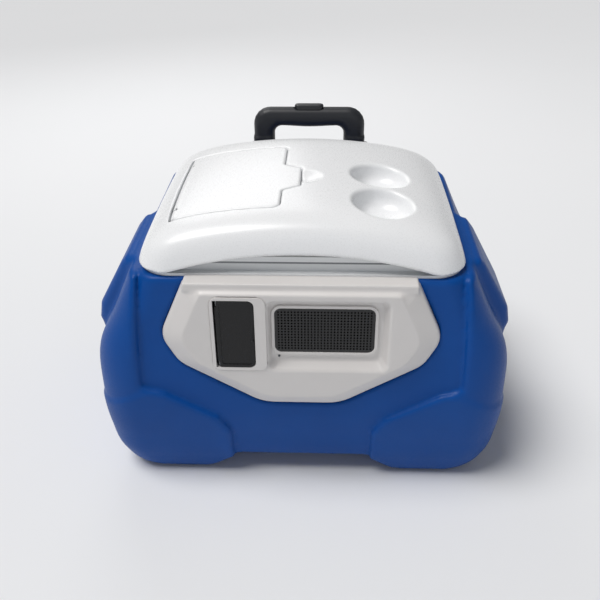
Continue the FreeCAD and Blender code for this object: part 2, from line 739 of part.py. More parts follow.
def lid_form(inset):
    """The lid's outer form, moved in by inset: a leaning skirt under the crown."""
    rings = []
    for rise in (0.0, LID_CROWN_Z + 20 - LIP_Z):
        lean = inset + LID_DRAFT * rise / LID_DRAFT_HEIGHT
        corners = rectangle(-LID_HALF + lean, LID_HALF - lean, LID_FRONT_Y + lean, LID_BACK_Y - lean,
                            LID_CORNER - inset)
        rings.append(rounded_outline(corners, lambda u, v, z=LIP_Z + rise: V(u, v, z)))
    return Part.makeLoft(rings, True, True).common(crown_block(inset))


def hatch_corners(grow):
    """Outline of the hatch, grown by grow, as (x, y, radius)."""
    left, right = HATCH_LEFT - grow, HATCH_RIGHT + grow
    front, back = HATCH_FRONT - grow, HATCH_BACK + grow
    tab = HATCH_TAB_X + grow
    tab_front, tab_back = HATCH_TAB_FRONT - grow * 0.6, HATCH_TAB_BACK + grow * 0.6
    slope = HATCH_TAB_SLOPE
    inner = max(1.0, HATCH_CORNER - max(grow, 0) - 3)
    outer = max(1.0, HATCH_CORNER + grow)
    return [
        (left, front, 3.0 + max(grow, 0)),
        (right, front, outer),
        (right, tab_front - slope, inner),
        (tab, tab_front, outer * 0.6),
        (tab, tab_back, outer * 0.6),
        (right, tab_back + slope, inner),
        (right, back, outer),
        (left, back, 3.0 + max(grow, 0)),
    ]


def hatch_block(grow, low=BODY_HEIGHT - 60, high=LID_CROWN_Z + 20):
    return along_z(hatch_corners(grow), low, high)


def opening_block(grow, low=BODY_HEIGHT - 60, high=LID_CROWN_Z + 20):
    """The hatch's block with the groove for its hinge added on the left."""
    corners = [(x - (HATCH_GROOVE if x < HATCH_LEFT + 1 else 0), y, radius)
               for x, y, radius in hatch_corners(grow)]
    return along_z(corners, low, high)


def hatch_pin_place():
    """X and Z of the hatch's hinge axis: its left edge is rounded about this axis."""
    x = HATCH_LEFT + HATCH_KNUCKLE_RADIUS
    return x, crown_z(x, HATCH_FRONT) - HATCH_KNUCKLE_RADIUS


def hatch_row(radius, start, end):
    """Rods along the hatch's hinge axis, from start to end on both sides of the middle of each knuckle."""
    x, z = hatch_pin_place()
    return [rod_y(radius, y + side * start if side > 0 else y - end, y + end if side > 0 else y - start, x, z)
            for y in HATCH_KNUCKLE_YS for side in (1, -1)]


def hatch_eye_room(grow):
    """Space of the fixed eyes beside the hatch's knuckles, grown by grow."""
    x, z = hatch_pin_place()
    start = HATCH_KNUCKLE_LENGTH / 2 + HATCH_SIDE_GAP - grow
    end = start + HATCH_EYE_LENGTH + 2 * grow
    side = HATCH_KNUCKLE_RADIUS + grow
    feet = [box(x - side, x + side, y + a, y + b, z - 14, z)
            for y in HATCH_KNUCKLE_YS for a, b in ((start, end), (-end, -start))]
    return hatch_row(side, start, end) + feet


def hatch_edge_relief():
    """Round clearance along the hatch's left edge, so that it can swing up."""
    x, z = hatch_pin_place()
    return rod_y(HATCH_SWING, HATCH_FRONT - HATCH_GAP, HATCH_BACK + HATCH_GAP, x, z)


def cup_block(y, radius, depth):
    """Round space of a cup holder; depth is measured from the crown over its centre."""
    floor = crown_z(CUP_X, y) - depth
    return rod_z(radius, floor, LID_CROWN_Z + 20, CUP_X, y)


def scoop_ball(grow):
    """Shallow finger scoop beside the hatch's tab, grown by grow."""
    x, y = HATCH_TAB_X + 8, (HATCH_TAB_FRONT + HATCH_TAB_BACK) / 2
    return Part.makeSphere(SCOOP_RADIUS + grow, V(x, y, crown_z(x, y) + SCOOP_RADIUS - SCOOP_DEPTH))


def lip_arch():
    """Finger arch in the front of the skirt."""
    start, crown, end = (V(-LIP_ARCH_HALF, 0, LIP_Z), V(0, 0, LIP_Z + LIP_ARCH_RISE), V(LIP_ARCH_HALF, 0, LIP_Z))
    low = [V(LIP_ARCH_HALF, 0, LIP_Z - 10), V(-LIP_ARCH_HALF, 0, LIP_Z - 10)]
    wire = Part.Wire([
        Part.Arc(start, crown, end).toShape(),
        Part.LineSegment(end, low[0]).toShape(),
        Part.LineSegment(low[0], low[1]).toShape(),
        Part.LineSegment(low[1], start).toShape(),
    ])
    wire.translate(V(0, LID_FRONT_Y - 30, 0))
    return Part.Face(wire).extrude(V(0, 30 + LID_DRAFT + LID_SKIN + 1, 0))


def tray_plan(inset, z0, z1):
    """Block with the tray's plan, moved in by inset."""
    k = LID_SKIN + TRAY_GAP + inset
    return along_z(rectangle(-LID_HALF + k, LID_HALF - k, LID_FRONT_Y + k, LID_BACK_Y - k, LID_CORNER - k / 2),
                   z0, z1)


def lid_shell(forms):
    """White outer lid: crowned top, skirt, two cup holders, the opening for the hatch and the finger arch."""
    shell = forms[0].cut(forms[LID_SKIN])
    for y in CUP_YS:
        cup = cup_block(y, CUP_RADIUS + CUP_WALL, CUP_DEPTH + CUP_WALL).common(forms[0])
        shell = shell.fuse(cup)
    shell = shell.cut([cup_block(y, CUP_RADIUS, CUP_DEPTH) for y in CUP_YS])
    shell = shell.fuse(scoop_ball(CUP_WALL).common(forms[0])).cut(scoop_ball(0))
    return shell.cut([opening_block(HATCH_GAP), lip_arch()]).removeSplitter()


def plug_block(inset, low, high):
    """Block with the plan of the plug under the lid, moved in by inset."""
    k = PLUG_FIT + inset
    return along_z(rectangle(-LINER_HALF_TOP + k, LINER_HALF_TOP - k, LINER_FRONT_TOP + k, LINER_BACK_TOP - k,
                             LINER_CORNER - k), low, high)


def lid_tray():
    """White underside of the lid: a rimmed plate with a hollow plug that closes the liner's mouth."""
    top = TRAY_Z + TRAY_WALL
    plate = tray_plan(0, TRAY_Z, TRAY_Z + TRAY_RIM).cut(tray_plan(TRAY_WALL, top, FAR))
    tray = plate.fuse(plug_block(0, PLUG_Z, top))
    tray = tray.cut(plug_block(TRAY_WALL, PLUG_Z + TRAY_WALL, top + 1))
    return tray.cut(opening_block(HATCH_FRAME_WALL)).removeSplitter()


def lid_foam(forms):
    """Foam between the lid's shell and its tray."""
    top = TRAY_Z + TRAY_WALL
    room = forms[LID_SKIN].common(tray_plan(TRAY_WALL, top, LID_CROWN_Z))
    room = room.fuse(plug_block(TRAY_WALL, PLUG_Z + TRAY_WALL, top))
    cups = [cup_block(y, CUP_RADIUS + CUP_WALL, CUP_DEPTH + CUP_WALL) for y in CUP_YS]
    return room.cut(cups + [scoop_ball(CUP_WALL), opening_block(HATCH_FRAME_WALL)])


def lid_gasket():
    """Soft ring under the tray that lands on the liner's collar."""
    rings = [along_z(rectangle(-LID_HALF + k, LID_HALF - k, LID_FRONT_Y + k, LID_BACK_Y - k, LID_CORNER - k / 2),
                     TRAY_Z - GASKET_HEIGHT, TRAY_Z)
             for k in (COLLAR_INSET - 1, COLLAR_INSET + COLLAR_WALL + 1)]
    return rings[0].cut(rings[1])


def hatch_frame(forms):
    """White throat through the lid, with the ledge that the hatch rests on and the eyes for its pins."""
    top = TRAY_Z + TRAY_WALL
    ring = opening_block(HATCH_FRAME_WALL, top).cut(hatch_block(-HATCH_LEDGE, top - 1)).common(forms[LID_SKIN])
    ring = ring.cut([opening_block(HATCH_GAP).cut(forms[HATCH_THICK + HATCH_SEAT]), hatch_edge_relief()])
    floor = opening_block(HATCH_FRAME_WALL, TRAY_Z, top).common(tray_plan(TRAY_WALL, TRAY_Z, top))
    low = opening_block(HATCH_FRAME_WALL, PLUG_Z, TRAY_Z).common(plug_block(0, PLUG_Z, TRAY_Z))
    throat = hatch_block(-HATCH_LEDGE, PLUG_Z - 1).common(plug_block(TRAY_WALL, PLUG_Z - 1, top + 1))
    eyes = joined(hatch_eye_room(0)).common(hatch_block(HATCH_FRAME_WALL))
    whole = ring.cut(scoop_ball(CUP_WALL)).fuse([floor.fuse(low).cut(throat), eyes])
    return whole.cut(hatch_pins_block(HATCH_PIN_RADIUS)).removeSplitter()


def hatch_pins_block(radius):
    reach = HATCH_KNUCKLE_LENGTH / 2 + HATCH_SIDE_GAP + HATCH_EYE_LENGTH
    x, z = hatch_pin_place()
    return [rod_y(radius, y - reach, y + reach, x, z) for y in HATCH_KNUCKLE_YS]


def hatch_door(forms):
    """The hatch: a skin flush with the crown, a plug below it, and its left edge rounded about the hinge."""
    x, z = hatch_pin_place()
    skin = hatch_block(0).common(forms[0]).cut(forms[HATCH_THICK])
    skin = skin.cut(box(-FAR, x, -FAR, FAR, -FAR, FAR))
    barrel = rod_y(HATCH_KNUCKLE_RADIUS, HATCH_FRONT + 3, HATCH_BACK - 3, x, z)
    outer = hatch_block(-HATCH_LEDGE - HATCH_PLUG_FIT, HATCH_PLUG_Z).common(forms[HATCH_THICK / 2])
    inner = hatch_block(-HATCH_LEDGE - HATCH_PLUG_FIT - TRAY_WALL, HATCH_PLUG_Z - 1).common(forms[HATCH_THICK])
    clear = box(-FAR, x + HATCH_KNUCKLE_RADIUS + 2, -FAR, FAR, -FAR, FAR)
    plug = outer.cut([inner, clear.cut(skin)])
    web = box(x, x + HATCH_KNUCKLE_RADIUS, HATCH_FRONT + 3, HATCH_BACK - 3, z, LID_CROWN_Z)
    door = joined([skin, barrel, web.common(forms[HATCH_THICK / 2]), plug])
    return door.cut(hatch_eye_room(HATCH_SIDE_GAP) + hatch_pins_block(HATCH_PIN_RADIUS + PIN_FIT))


def hatch_seal(forms):
    """Soft ring under the edge of the hatch, which rests on the ledge."""
    ring = hatch_block(-HATCH_SEAL_INSET, 0).cut(hatch_block(-HATCH_LEDGE + 0.5, -1))
    x, _ = hatch_pin_place()
    clear = box(-FAR, x + HATCH_KNUCKLE_RADIUS + 2, -FAR, FAR, -FAR, FAR)
    return ring.common(forms[HATCH_THICK]).cut([forms[HATCH_THICK + HATCH_SEAT], clear])


# ================================================================ front panel
def panel_block(points_edge, points_face, y_seat, y_edge, y_face):
    """A plate with one outline up to y_edge that slopes to a smaller outline at y_face."""
    base = along_y(points_edge, y_edge, y_seat)
    wires = [rounded_outline(points, lambda u, v, y=y: V(u, y, v))
             for points, y in ((points_edge, y_edge), (points_face, y_face))]
    return base.fuse(Part.makeLoft(wires, True, True)).removeSplitter()


def panel_form(inset):
    edge = panel_outline(grown_outline(PANEL_EDGE, -inset))
    face = panel_outline(grown_outline(PANEL_FACE, -inset))
    if inset:
        edge = [(x, z - (inset if z > PANEL_TOP_Z - 20 else 0), radius) for x, z, radius in edge]
        face = [(x, z - (inset if z > PANEL_TOP_Z - 20 else 0), radius) for x, z, radius in face]
    seat = PANEL_SEAT_Y + (1 if inset else 0)
    return panel_block(edge, face, seat, PANEL_EDGE_Y + inset * 0.6, PANEL_FACE_Y + inset)


def well_form(grow):
    """The loudspeaker's recess: it narrows from its mouth in the panel's face to its flat floor."""
    left, right, bottom, top = WELL_SLOPES
    low, high = PANEL_TOP_Z - WELL_DROP_BOTTOM, PANEL_TOP_Z - WELL_DROP_TOP
    mouth = rectangle(WELL_LEFT - grow, WELL_RIGHT + grow, low - grow, high + grow, WELL_CORNER + grow)
    floor = rectangle(WELL_LEFT + left - grow, WELL_RIGHT - right + grow, low + bottom - grow,
                      high - top + grow, WELL_CORNER + grow)
    wires = [rounded_outline(points, lambda u, v, y=y: V(u, y, v))
             for points, y in ((mouth, PANEL_FACE_Y), (floor, PANEL_FACE_Y + WELL_DEPTH + grow))]
    front = along_y(mouth, PANEL_FACE_Y - 20, PANEL_FACE_Y)
    return Part.makeLoft(wires, True, True).fuse(front)


def speaker_rect(grow, y0, y1):
    """Rounded block with the plan of the loudspeaker's window, grown by grow."""
    return along_y(rectangle(SPEAKER_LEFT - grow, SPEAKER_RIGHT + grow, PANEL_TOP_Z - SPEAKER_DROP_BOTTOM - grow,
                             PANEL_TOP_Z - SPEAKER_DROP_TOP + grow, SPEAKER_CORNER + grow), y0, y1)


def door_rect(grow, y0, y1, strip=0.0):
    """Rounded block with the plan of the charging door, grown by grow and by strip on its right."""
    return along_y(rectangle(DOOR_LEFT - grow, DOOR_RIGHT + grow + strip, PANEL_TOP_Z - DOOR_DROP_BOTTOM - grow,
                             PANEL_TOP_Z - DOOR_DROP_TOP + grow, DOOR_CORNER + grow * 0.5), y0, y1)


WELL_FLOOR_Y = PANEL_FACE_Y + WELL_DEPTH
SPEAKER_MID_X = (SPEAKER_LEFT + SPEAKER_RIGHT) / 2
SPEAKER_MID_Z = PANEL_TOP_Z - (SPEAKER_DROP_TOP + SPEAKER_DROP_BOTTOM) / 2
DRIVER_XS = (SPEAKER_MID_X - DRIVER_SPACING / 2, SPEAKER_MID_X + DRIVER_SPACING / 2)
BOX_FRONT_Y = WELL_FLOOR_Y + PANEL_WALL
BOX_BACK_Y = BOX_FRONT_Y + SPEAKER_BOX_DEPTH
BEZEL_Y = PANEL_FACE_Y - DOOR_BEZEL_PROUD
BEZEL_BACK_Y = PANEL_FACE_Y + PANEL_WALL + 1
DOOR_FACE_Y = PANEL_FACE_Y - DOOR_PROUD
DOOR_AXIS_X = DOOR_LEFT + DOOR_GAP + DOOR_KNUCKLE_RADIUS
DOOR_AXIS_Y = DOOR_FACE_Y + DOOR_KNUCKLE_RADIUS
DOOR_LOW_Z = PANEL_TOP_Z - DOOR_DROP_BOTTOM
DOOR_HIGH_Z = PANEL_TOP_Z - DOOR_DROP_TOP
TRAY_BACK_Y = BEZEL_BACK_Y + TRAY_BOX_DEPTH
LED_X = WELL_LEFT + 14
LED_Z = PANEL_TOP_Z - WELL_DROP_BOTTOM + 15


def panel_clip_places():
    """X and Z of the hidden clips that hold the panel to the body."""
    return [(side * x, PANEL_TOP_Z - drop) for x, drop in ((150.0, 96.0), (60.0, 163.0)) for side in (1, -1)]


def front_panel():
    """White six-sided panel with a sunken place for the loudspeaker and an opening for the charging door."""
    solid = panel_form(0).cut(panel_form(PANEL_WALL))
    solid = solid.fuse(well_form(PANEL_WALL).common(panel_form(0))).cut(well_form(0))
    bosses = [rod_y(6.0, PANEL_FACE_Y + 6, PANEL_SEAT_Y, x, z) for x, z in panel_clip_places()]
    solid = solid.fuse([boss.common(panel_form(0)) for boss in bosses])
    taken = [speaker_rect(0.0, WELL_FLOOR_Y - 1, BOX_FRONT_Y + 1)]
    taken += [door_rect(DOOR_BEZEL_WIDTH, PANEL_FACE_Y - 1, BEZEL_BACK_Y, DOOR_BEZEL_STRIP - DOOR_BEZEL_WIDTH)]
    taken += [door_rect(DOOR_GAP + TRAY_BOX_WALL, PANEL_FACE_Y - 1, PANEL_SEAT_Y + 1)]
    taken += [rod_y(LED_RADIUS, WELL_FLOOR_Y - 1, BOX_FRONT_Y + 1, LED_X, LED_Z)]
    for x, z in panel_clip_places():
        taken.append(rod_y(SCREW_HEAD_RADIUS, PANEL_CLIP_Y - SCREW_HEAD, PANEL_CLIP_Y, x, z))
        taken.append(rod_y(SCREW_RADIUS, PANEL_CLIP_Y - 1, PANEL_SEAT_Y + 1, x, z))
    return solid.cut(taken)


PANEL_CLIP_Y = PANEL_SEAT_Y - 6.0


def panel_clip_set():
    return [(V(x, PANEL_CLIP_Y, z), V(0, 1, 0)) for x, z in panel_clip_places()]


def panel_clips():
    """Push-in clips: each head sits in a boss behind the panel and its stem goes into the body."""
    heads = [Part.makeCylinder(SCREW_HEAD_RADIUS, SCREW_HEAD, at, way * -1) for at, way in panel_clip_set()]
    return [head.fuse(shank(at, way)).removeSplitter() for head, (at, way) in zip(heads, panel_clip_set())]


def speaker_frame():
    """Raised white rim round the grille, on the floor of the recess."""
    front = WELL_FLOOR_Y - SPEAKER_FRAME_PROUD
    return speaker_rect(SPEAKER_FRAME_WIDTH, front, WELL_FLOOR_Y).cut(speaker_rect(0, front - 1, WELL_FLOOR_Y + 1))


def speaker_grille():
    """Perforated black grille in the window."""
    front = WELL_FLOOR_Y - SPEAKER_FRAME_PROUD + GRILLE_SET_BACK
    plate = speaker_rect(0.0, front, front + GRILLE_THICK)
    wide, high = SPEAKER_RIGHT - SPEAKER_LEFT, SPEAKER_DROP_BOTTOM - SPEAKER_DROP_TOP
    columns, rows = int(wide / GRILLE_PITCH) - 1, int(high / GRILLE_PITCH) - 1
    holes = []
    for i in range(columns):
        for j in range(rows):
            x = SPEAKER_MID_X + (i - (columns - 1) / 2) * GRILLE_PITCH
            z = SPEAKER_MID_Z + (j - (rows - 1) / 2) * GRILLE_PITCH
            holes.append(rod_y(GRILLE_HOLE, front - 1, front + GRILLE_THICK + 1, x, z))
    return plate.cut(Part.makeCompound(holes))


def speaker_box():
    """Closed plastic box behind the grille, with two round holes in its front."""
    grow = SPEAKER_FRAME_WIDTH
    wall = SPEAKER_BOX_WALL
    solid = speaker_rect(grow, BOX_FRONT_Y, BOX_BACK_Y)
    solid = solid.cut(speaker_rect(grow - wall, BOX_FRONT_Y + wall, BOX_BACK_Y - wall))
    return solid.cut([rod_y(DRIVER_RADIUS + DRIVER_FIT, BOX_FRONT_Y - 1, BOX_FRONT_Y + wall + 1, x, SPEAKER_MID_Z)
                      for x in DRIVER_XS])


def turned_y(profile, x, z):
    """Solid of revolution about an axis along Y through (x, z). The profile is a list of (y, radius)."""
    wire = Part.makePolygon([V(x + r, y, z) for y, r in profile + profile[:1]])
    return Part.Face(wire).revolve(V(x, 0, z), V(0, 1, 0), 360)


def driver_baskets():
    y = BOX_FRONT_Y
    profile = [(y - 1.5, DRIVER_RADIUS - 1), (y - 1.5, DRIVER_RADIUS + 2.5), (y, DRIVER_RADIUS + 2.5),
               (y, DRIVER_RADIUS), (y + CONE_DEPTH + 4, MAGNET_RADIUS + 2), (y + CONE_DEPTH + 6, MAGNET_RADIUS + 2),
               (y + CONE_DEPTH + 6, MAGNET_RADIUS * 0.55), (y + CONE_DEPTH + 4, MAGNET_RADIUS * 0.55),
               (y + 1, DRIVER_RADIUS - 1)]
    return [turned_y(profile, x, SPEAKER_MID_Z) for x in DRIVER_XS]


def driver_magnets():
    y = BOX_FRONT_Y + CONE_DEPTH + 6
    return [rod_y(MAGNET_RADIUS, y, y + MAGNET_LENGTH, x, SPEAKER_MID_Z) for x in DRIVER_XS]


def driver_cones():
    y = BOX_FRONT_Y - 0.5
    outer, inner = DRIVER_RADIUS - 5, MAGNET_RADIUS * 0.5
    profile = [(y, outer), (y + CONE_DEPTH, inner), (y + CONE_DEPTH, 0.0), (y + CONE_DEPTH - 0.8, 0.0),
               (y + CONE_DEPTH - 0.8, inner - 0.6), (y - 0.1, outer - 0.6),
               (y - 0.1, outer)]
    return [turned_y(profile, x, SPEAKER_MID_Z) for x in DRIVER_XS]


def driver_surrounds():
    """Soft rings that carry the cones."""
    y = BOX_FRONT_Y
    inner, outer = DRIVER_RADIUS - 5, DRIVER_RADIUS - 1
    profile = [(y - 0.6, inner), (y - 1.7, inner + 1), (y - 2.1, inner + 2), (y - 1.7, outer - 1), (y - 0.6, outer),
               (y - 0.1, outer), (y - 0.1, inner)]
    return [turned_y(profile, x, SPEAKER_MID_Z) for x in DRIVER_XS]


def amplifier_board():
    y = BOX_BACK_Y + 4
    x0, x1 = SPEAKER_LEFT + 6, SPEAKER_RIGHT - 6
    z0, z1 = SPEAKER_MID_Z - 26, SPEAKER_MID_Z + 26
    parts = [box(x0, x1, y, y + BOARD_THICK, z0, z1)]
    parts += [box(x0 + 8, x0 + 30, y - 3, y, z0 + 8, z0 + 24), box(x1 - 40, x1 - 12, y - 2.5, y, z0 + 12, z0 + 40)]
    parts += [rod_y(2.5, y + BOARD_THICK, BAY_BACK_Y, x, z) for x in (x0 + 4, x1 - 4) for z in (z0 + 4, z1 - 4)]
    return joined(parts)


BAY_BACK_Y = PANEL_SEAT_Y + BAY_DEPTH


def battery_pack():
    """A row of cells behind the charging compartment, in a wrap that follows them."""
    y = BAY_BACK_Y - BATTERY_CELL_RADIUS - 1.5
    mid = (DOOR_LEFT + DOOR_RIGHT) / 2
    z0 = (DOOR_LOW_Z + DOOR_HIGH_Z - BATTERY_CELL_LENGTH) / 2
    xs = [mid + (i - (BATTERY_CELLS - 1) / 2) * BATTERY_CELL_RADIUS * 2 for i in range(BATTERY_CELLS)]
    cells = [rod_z(BATTERY_CELL_RADIUS, z0, z0 + BATTERY_CELL_LENGTH, x, y) for x in xs]
    core = box(xs[0], xs[-1], y - BATTERY_CELL_RADIUS * 0.8, y + BATTERY_CELL_RADIUS + 1.5, z0, z0 + BATTERY_CELL_LENGTH)
    return joined(cells + [core])


def door_bezel():
    """White frame round the charging door, wider towards the loudspeaker."""
    wide = DOOR_BEZEL_STRIP - DOOR_BEZEL_WIDTH
    ring = door_rect(DOOR_BEZEL_WIDTH, BEZEL_Y, BEZEL_BACK_Y, wide)
    swing = box(DOOR_LEFT - DOOR_GAP, DOOR_LEFT + DOOR_CORNER, BEZEL_Y - 1, BEZEL_BACK_Y + 1,
                DOOR_LOW_Z - DOOR_GAP, DOOR_HIGH_Z + DOOR_GAP)
    ring = ring.cut([door_rect(DOOR_GAP, BEZEL_Y - 1, BEZEL_BACK_Y + 1), swing])
    return ring.cut(rod_z(DOOR_PIN_RADIUS, DOOR_LOW_Z - 3, DOOR_HIGH_Z + 3, DOOR_AXIS_X, DOOR_AXIS_Y))


def charger_tray():
    """Open box behind the door."""
    wall = TRAY_BOX_WALL
    solid = door_rect(DOOR_GAP + wall, BEZEL_BACK_Y, TRAY_BACK_Y)
    solid = solid.cut(door_rect(DOOR_GAP, BEZEL_BACK_Y - 1, TRAY_BACK_Y - wall))
    mid = (DOOR_LEFT + DOOR_RIGHT) / 2
    ports = [box(mid - USB_WIDTH / 2, mid + USB_WIDTH / 2, TRAY_BACK_Y - wall - 1, TRAY_BACK_Y + 1,
                 z - USB_HEIGHT / 2, z + USB_HEIGHT / 2) for z in usb_heights()]
    button = rod_y(BUTTON_RADIUS + BUTTON_FIT, TRAY_BACK_Y - wall - 1, TRAY_BACK_Y + 1, mid, DOOR_HIGH_Z - BUTTON_DROP)
    return solid.cut(ports + [button])


def usb_heights():
    return [DOOR_HIGH_Z - drop for drop in USB_DROPS]


def usb_sockets():
    """Two metal charging sockets through the back of the tray."""
    mid = (DOOR_LEFT + DOOR_RIGHT) / 2
    front = TRAY_BACK_Y - TRAY_BOX_WALL - 1
    back = front + USB_DEPTH * 0.8
    made = []
    for z in usb_heights():
        w, h = USB_WIDTH / 2, USB_HEIGHT / 2
        shell = box(mid - w, mid + w, front, back, z - h, z + h)
        shell = shell.cut(box(mid - w + 1, mid + w - 1, front - 1, back - 2, z - h + 1, z + h - 1))
        made.append(shell.fuse(box(mid - w + 2, mid + w - 2, front + 1, back - 1, z - 0.2, z + 1.8)))
    return made


def power_button():
    mid = (DOOR_LEFT + DOOR_RIGHT) / 2
    z = DOOR_HIGH_Z - BUTTON_DROP
    front = TRAY_BACK_Y - TRAY_BOX_WALL - BUTTON_PROUD
    cap = rod_y(BUTTON_RADIUS, front, front + BUTTON_LENGTH, mid, z)
    dish = Part.makeSphere(BUTTON_RADIUS * 3, V(mid, front - BUTTON_RADIUS * 3 + 0.6, z))
    flange = rod_y(BUTTON_RADIUS + 1.6, TRAY_BACK_Y + 0.3, TRAY_BACK_Y + 1.8, mid, z)
    return cap.cut(dish).fuse(flange).removeSplitter()


def charger_door():
    """Black door, rounded about its hinge on the left."""
    plate = door_rect(0.0, DOOR_FACE_Y, DOOR_FACE_Y + DOOR_THICK)
    plate = plate.cut(box(-FAR, DOOR_AXIS_X, -FAR, 0, -FAR, FAR))
    barrel = rod_z(DOOR_KNUCKLE_RADIUS, DOOR_LOW_Z + DOOR_CORNER, DOOR_HIGH_Z - DOOR_CORNER, DOOR_AXIS_X, DOOR_AXIS_Y)
    rim = along_y(rectangle(DOOR_LEFT + 7, DOOR_RIGHT - 4, DOOR_LOW_Z + 4, DOOR_HIGH_Z - 4, 4.0),
                  DOOR_FACE_Y - 1, DOOR_FACE_Y + DOOR_DISH)
    nail = box(DOOR_RIGHT - 2, DOOR_RIGHT + 1, DOOR_FACE_Y - 1, DOOR_FACE_Y + 1.5,
               (DOOR_LOW_Z + DOOR_HIGH_Z) / 2 - 9, (DOOR_LOW_Z + DOOR_HIGH_Z) / 2 + 9)
    door = joined([plate.cut([rim, nail]), barrel])
    return door.cut(rod_z(DOOR_PIN_RADIUS + PIN_FIT, DOOR_LOW_Z - 1, DOOR_HIGH_Z + 1, DOOR_AXIS_X, DOOR_AXIS_Y))


def door_pin():
    return rod_z(DOOR_PIN_RADIUS, DOOR_LOW_Z - 3, DOOR_HIGH_Z + 3, DOOR_AXIS_X, DOOR_AXIS_Y)


def status_led():
    lens = rod_y(LED_RADIUS, WELL_FLOOR_Y - 0.5, WELL_FLOOR_Y + LED_LENGTH, LED_X, LED_Z)
    flange = rod_y(LED_RADIUS + 1, BOX_FRONT_Y, BOX_FRONT_Y + 1, LED_X, LED_Z)
    return lens.fuse(flange).removeSplitter()


# ================================================================ telescopic handle
def tube_plan(size, grow, z0, z1):
    """Rounded block with the section of the right tube of one stage, grown by grow."""
    across, deep, _ = TUBE_SIZES[size]
    half, thick = across / 2 + grow, deep / 2 + grow
    return along_z(rectangle(TUBE_X - half, TUBE_X + half, TUBE_Y - thick, TUBE_Y + thick, TUBE_CORNER + grow), z0, z1)


STAGE_LOW = [TUBE_LOW_Z + k * TUBE_STEP for k in range(3)]
BRACKET_TOP_Z = BODY_HEIGHT + BRACKET_HEIGHT
STAGE_TOP = (BRACKET_TOP_Z - COLLAR_TOP, BRACKET_TOP_Z + COLLAR_TOP - 2, GRIP_LOW_Z + 30)
PIN_Z = STAGE_LOW[2] + 12


def tubes(stage):
    """Both tubes of one stage, 0 outermost."""
    _, _, wall = TUBE_SIZES[stage]
    low, high = STAGE_LOW[stage], STAGE_TOP[stage]
    tube = tube_plan(stage, 0, low, high).cut(tube_plan(stage, -wall, low - 1, high + 1))
    if stage > 0:
        tube = tube.cut(rod_x(PIN_RADIUS + PIN_FIT, TUBE_X, FAR, TUBE_Y, PIN_Z))
    return both_sides(tube)


def guide_rings():
    """Plastic rings on top of the middle tubes that guide the inner tubes."""
    ring = tube_plan(0, 0, BRACKET_TOP_Z, BRACKET_TOP_Z + COLLAR_TOP)
    ring = ring.cut([tube_plan(2, SLIDE_FIT, BRACKET_TOP_Z - 1, BRACKET_TOP_Z + COLLAR_TOP + 1),
                     tube_plan(1, 0, BRACKET_TOP_Z - 1, STAGE_TOP[1])])
    return both_sides(ring)


def handle_bracket():
    """Black block on the deck that holds the tops of the outer tubes."""
    half = TUBE_X + TUBE_SIZES[0][0] / 2 + BRACKET_OVERHANG
    front = TUBE_Y - TUBE_SIZES[0][1] / 2 - BRACKET_OVERHANG
    back = TUBE_Y + TUBE_SIZES[0][1] / 2 + BRACKET_BACK
    block = along_z(rectangle(-half, half, front, back, 6.0), BODY_HEIGHT, BRACKET_TOP_Z)
    block = block.cut(box(-TUBE_X + 30, TUBE_X - 30, TUBE_Y - 4, FAR, -FAR, FAR))
    tunnels = both_sides(tube_plan(0, 0, -FAR, STAGE_TOP[0])) + both_sides(tube_plan(1, SLIDE_FIT, 0, FAR))
    return block.cut(tunnels + bracket_screw_holes())


def bracket_screw_places():
    return [V(side * 22.0, TUBE_Y - TUBE_SIZES[0][1] / 2 - 1, 0) for side in (1, -1)]


def bracket_screw_holes():
    return [rod_z(SCREW_RADIUS, BODY_HEIGHT - 1, BRACKET_TOP_Z + 1, p.x, p.y) for p in bracket_screw_places()] + [
        rod_z(SCREW_HEAD_RADIUS + 0.4, BODY_HEIGHT + 8, BRACKET_TOP_Z + 1, p.x, p.y) for p in bracket_screw_places()]


def lower_bracket():
    """Black strap across the back that holds the lower ends of the outer tubes."""
    half = TUBE_X + TUBE_SIZES[0][0] / 2 + STRAP_WALL
    back = TUBE_Y + TUBE_SIZES[0][1] / 2 + STRAP_WALL
    strap = along_z(rectangle(-half, half, SPINE_BACK_Y, back, 2.5), STRAP_LOW_Z, STRAP_LOW_Z + STRAP_HEIGHT)
    strap = strap.cut(box(-TUBE_X + 24, TUBE_X - 24, SPINE_BACK_Y + 5, FAR, -FAR, FAR))
    holes = [rod_y(SCREW_RADIUS, 0, SPINE_BACK_Y + 6, p.x, p.z) for p in strap_screw_places()]
    return strap.cut(both_sides(tube_plan(0, 0, -FAR, FAR)) + holes)


def strap_screw_places():
    x = TUBE_X - STRAP_SCREW_INSET
    return [V(side * x, SPINE_BACK_Y + 5, STRAP_LOW_Z + STRAP_HEIGHT / 2) for side in (1, -1)]


def handle_screw_set():
    top = [(V(p.x, p.y, BODY_HEIGHT + 8), V(0, 0, -1)) for p in bracket_screw_places()]
    return top + [(p, V(0, -1, 0)) for p in strap_screw_places()]


def handle_screws():
    return [screw(at, way) for at, way in handle_screw_set()]


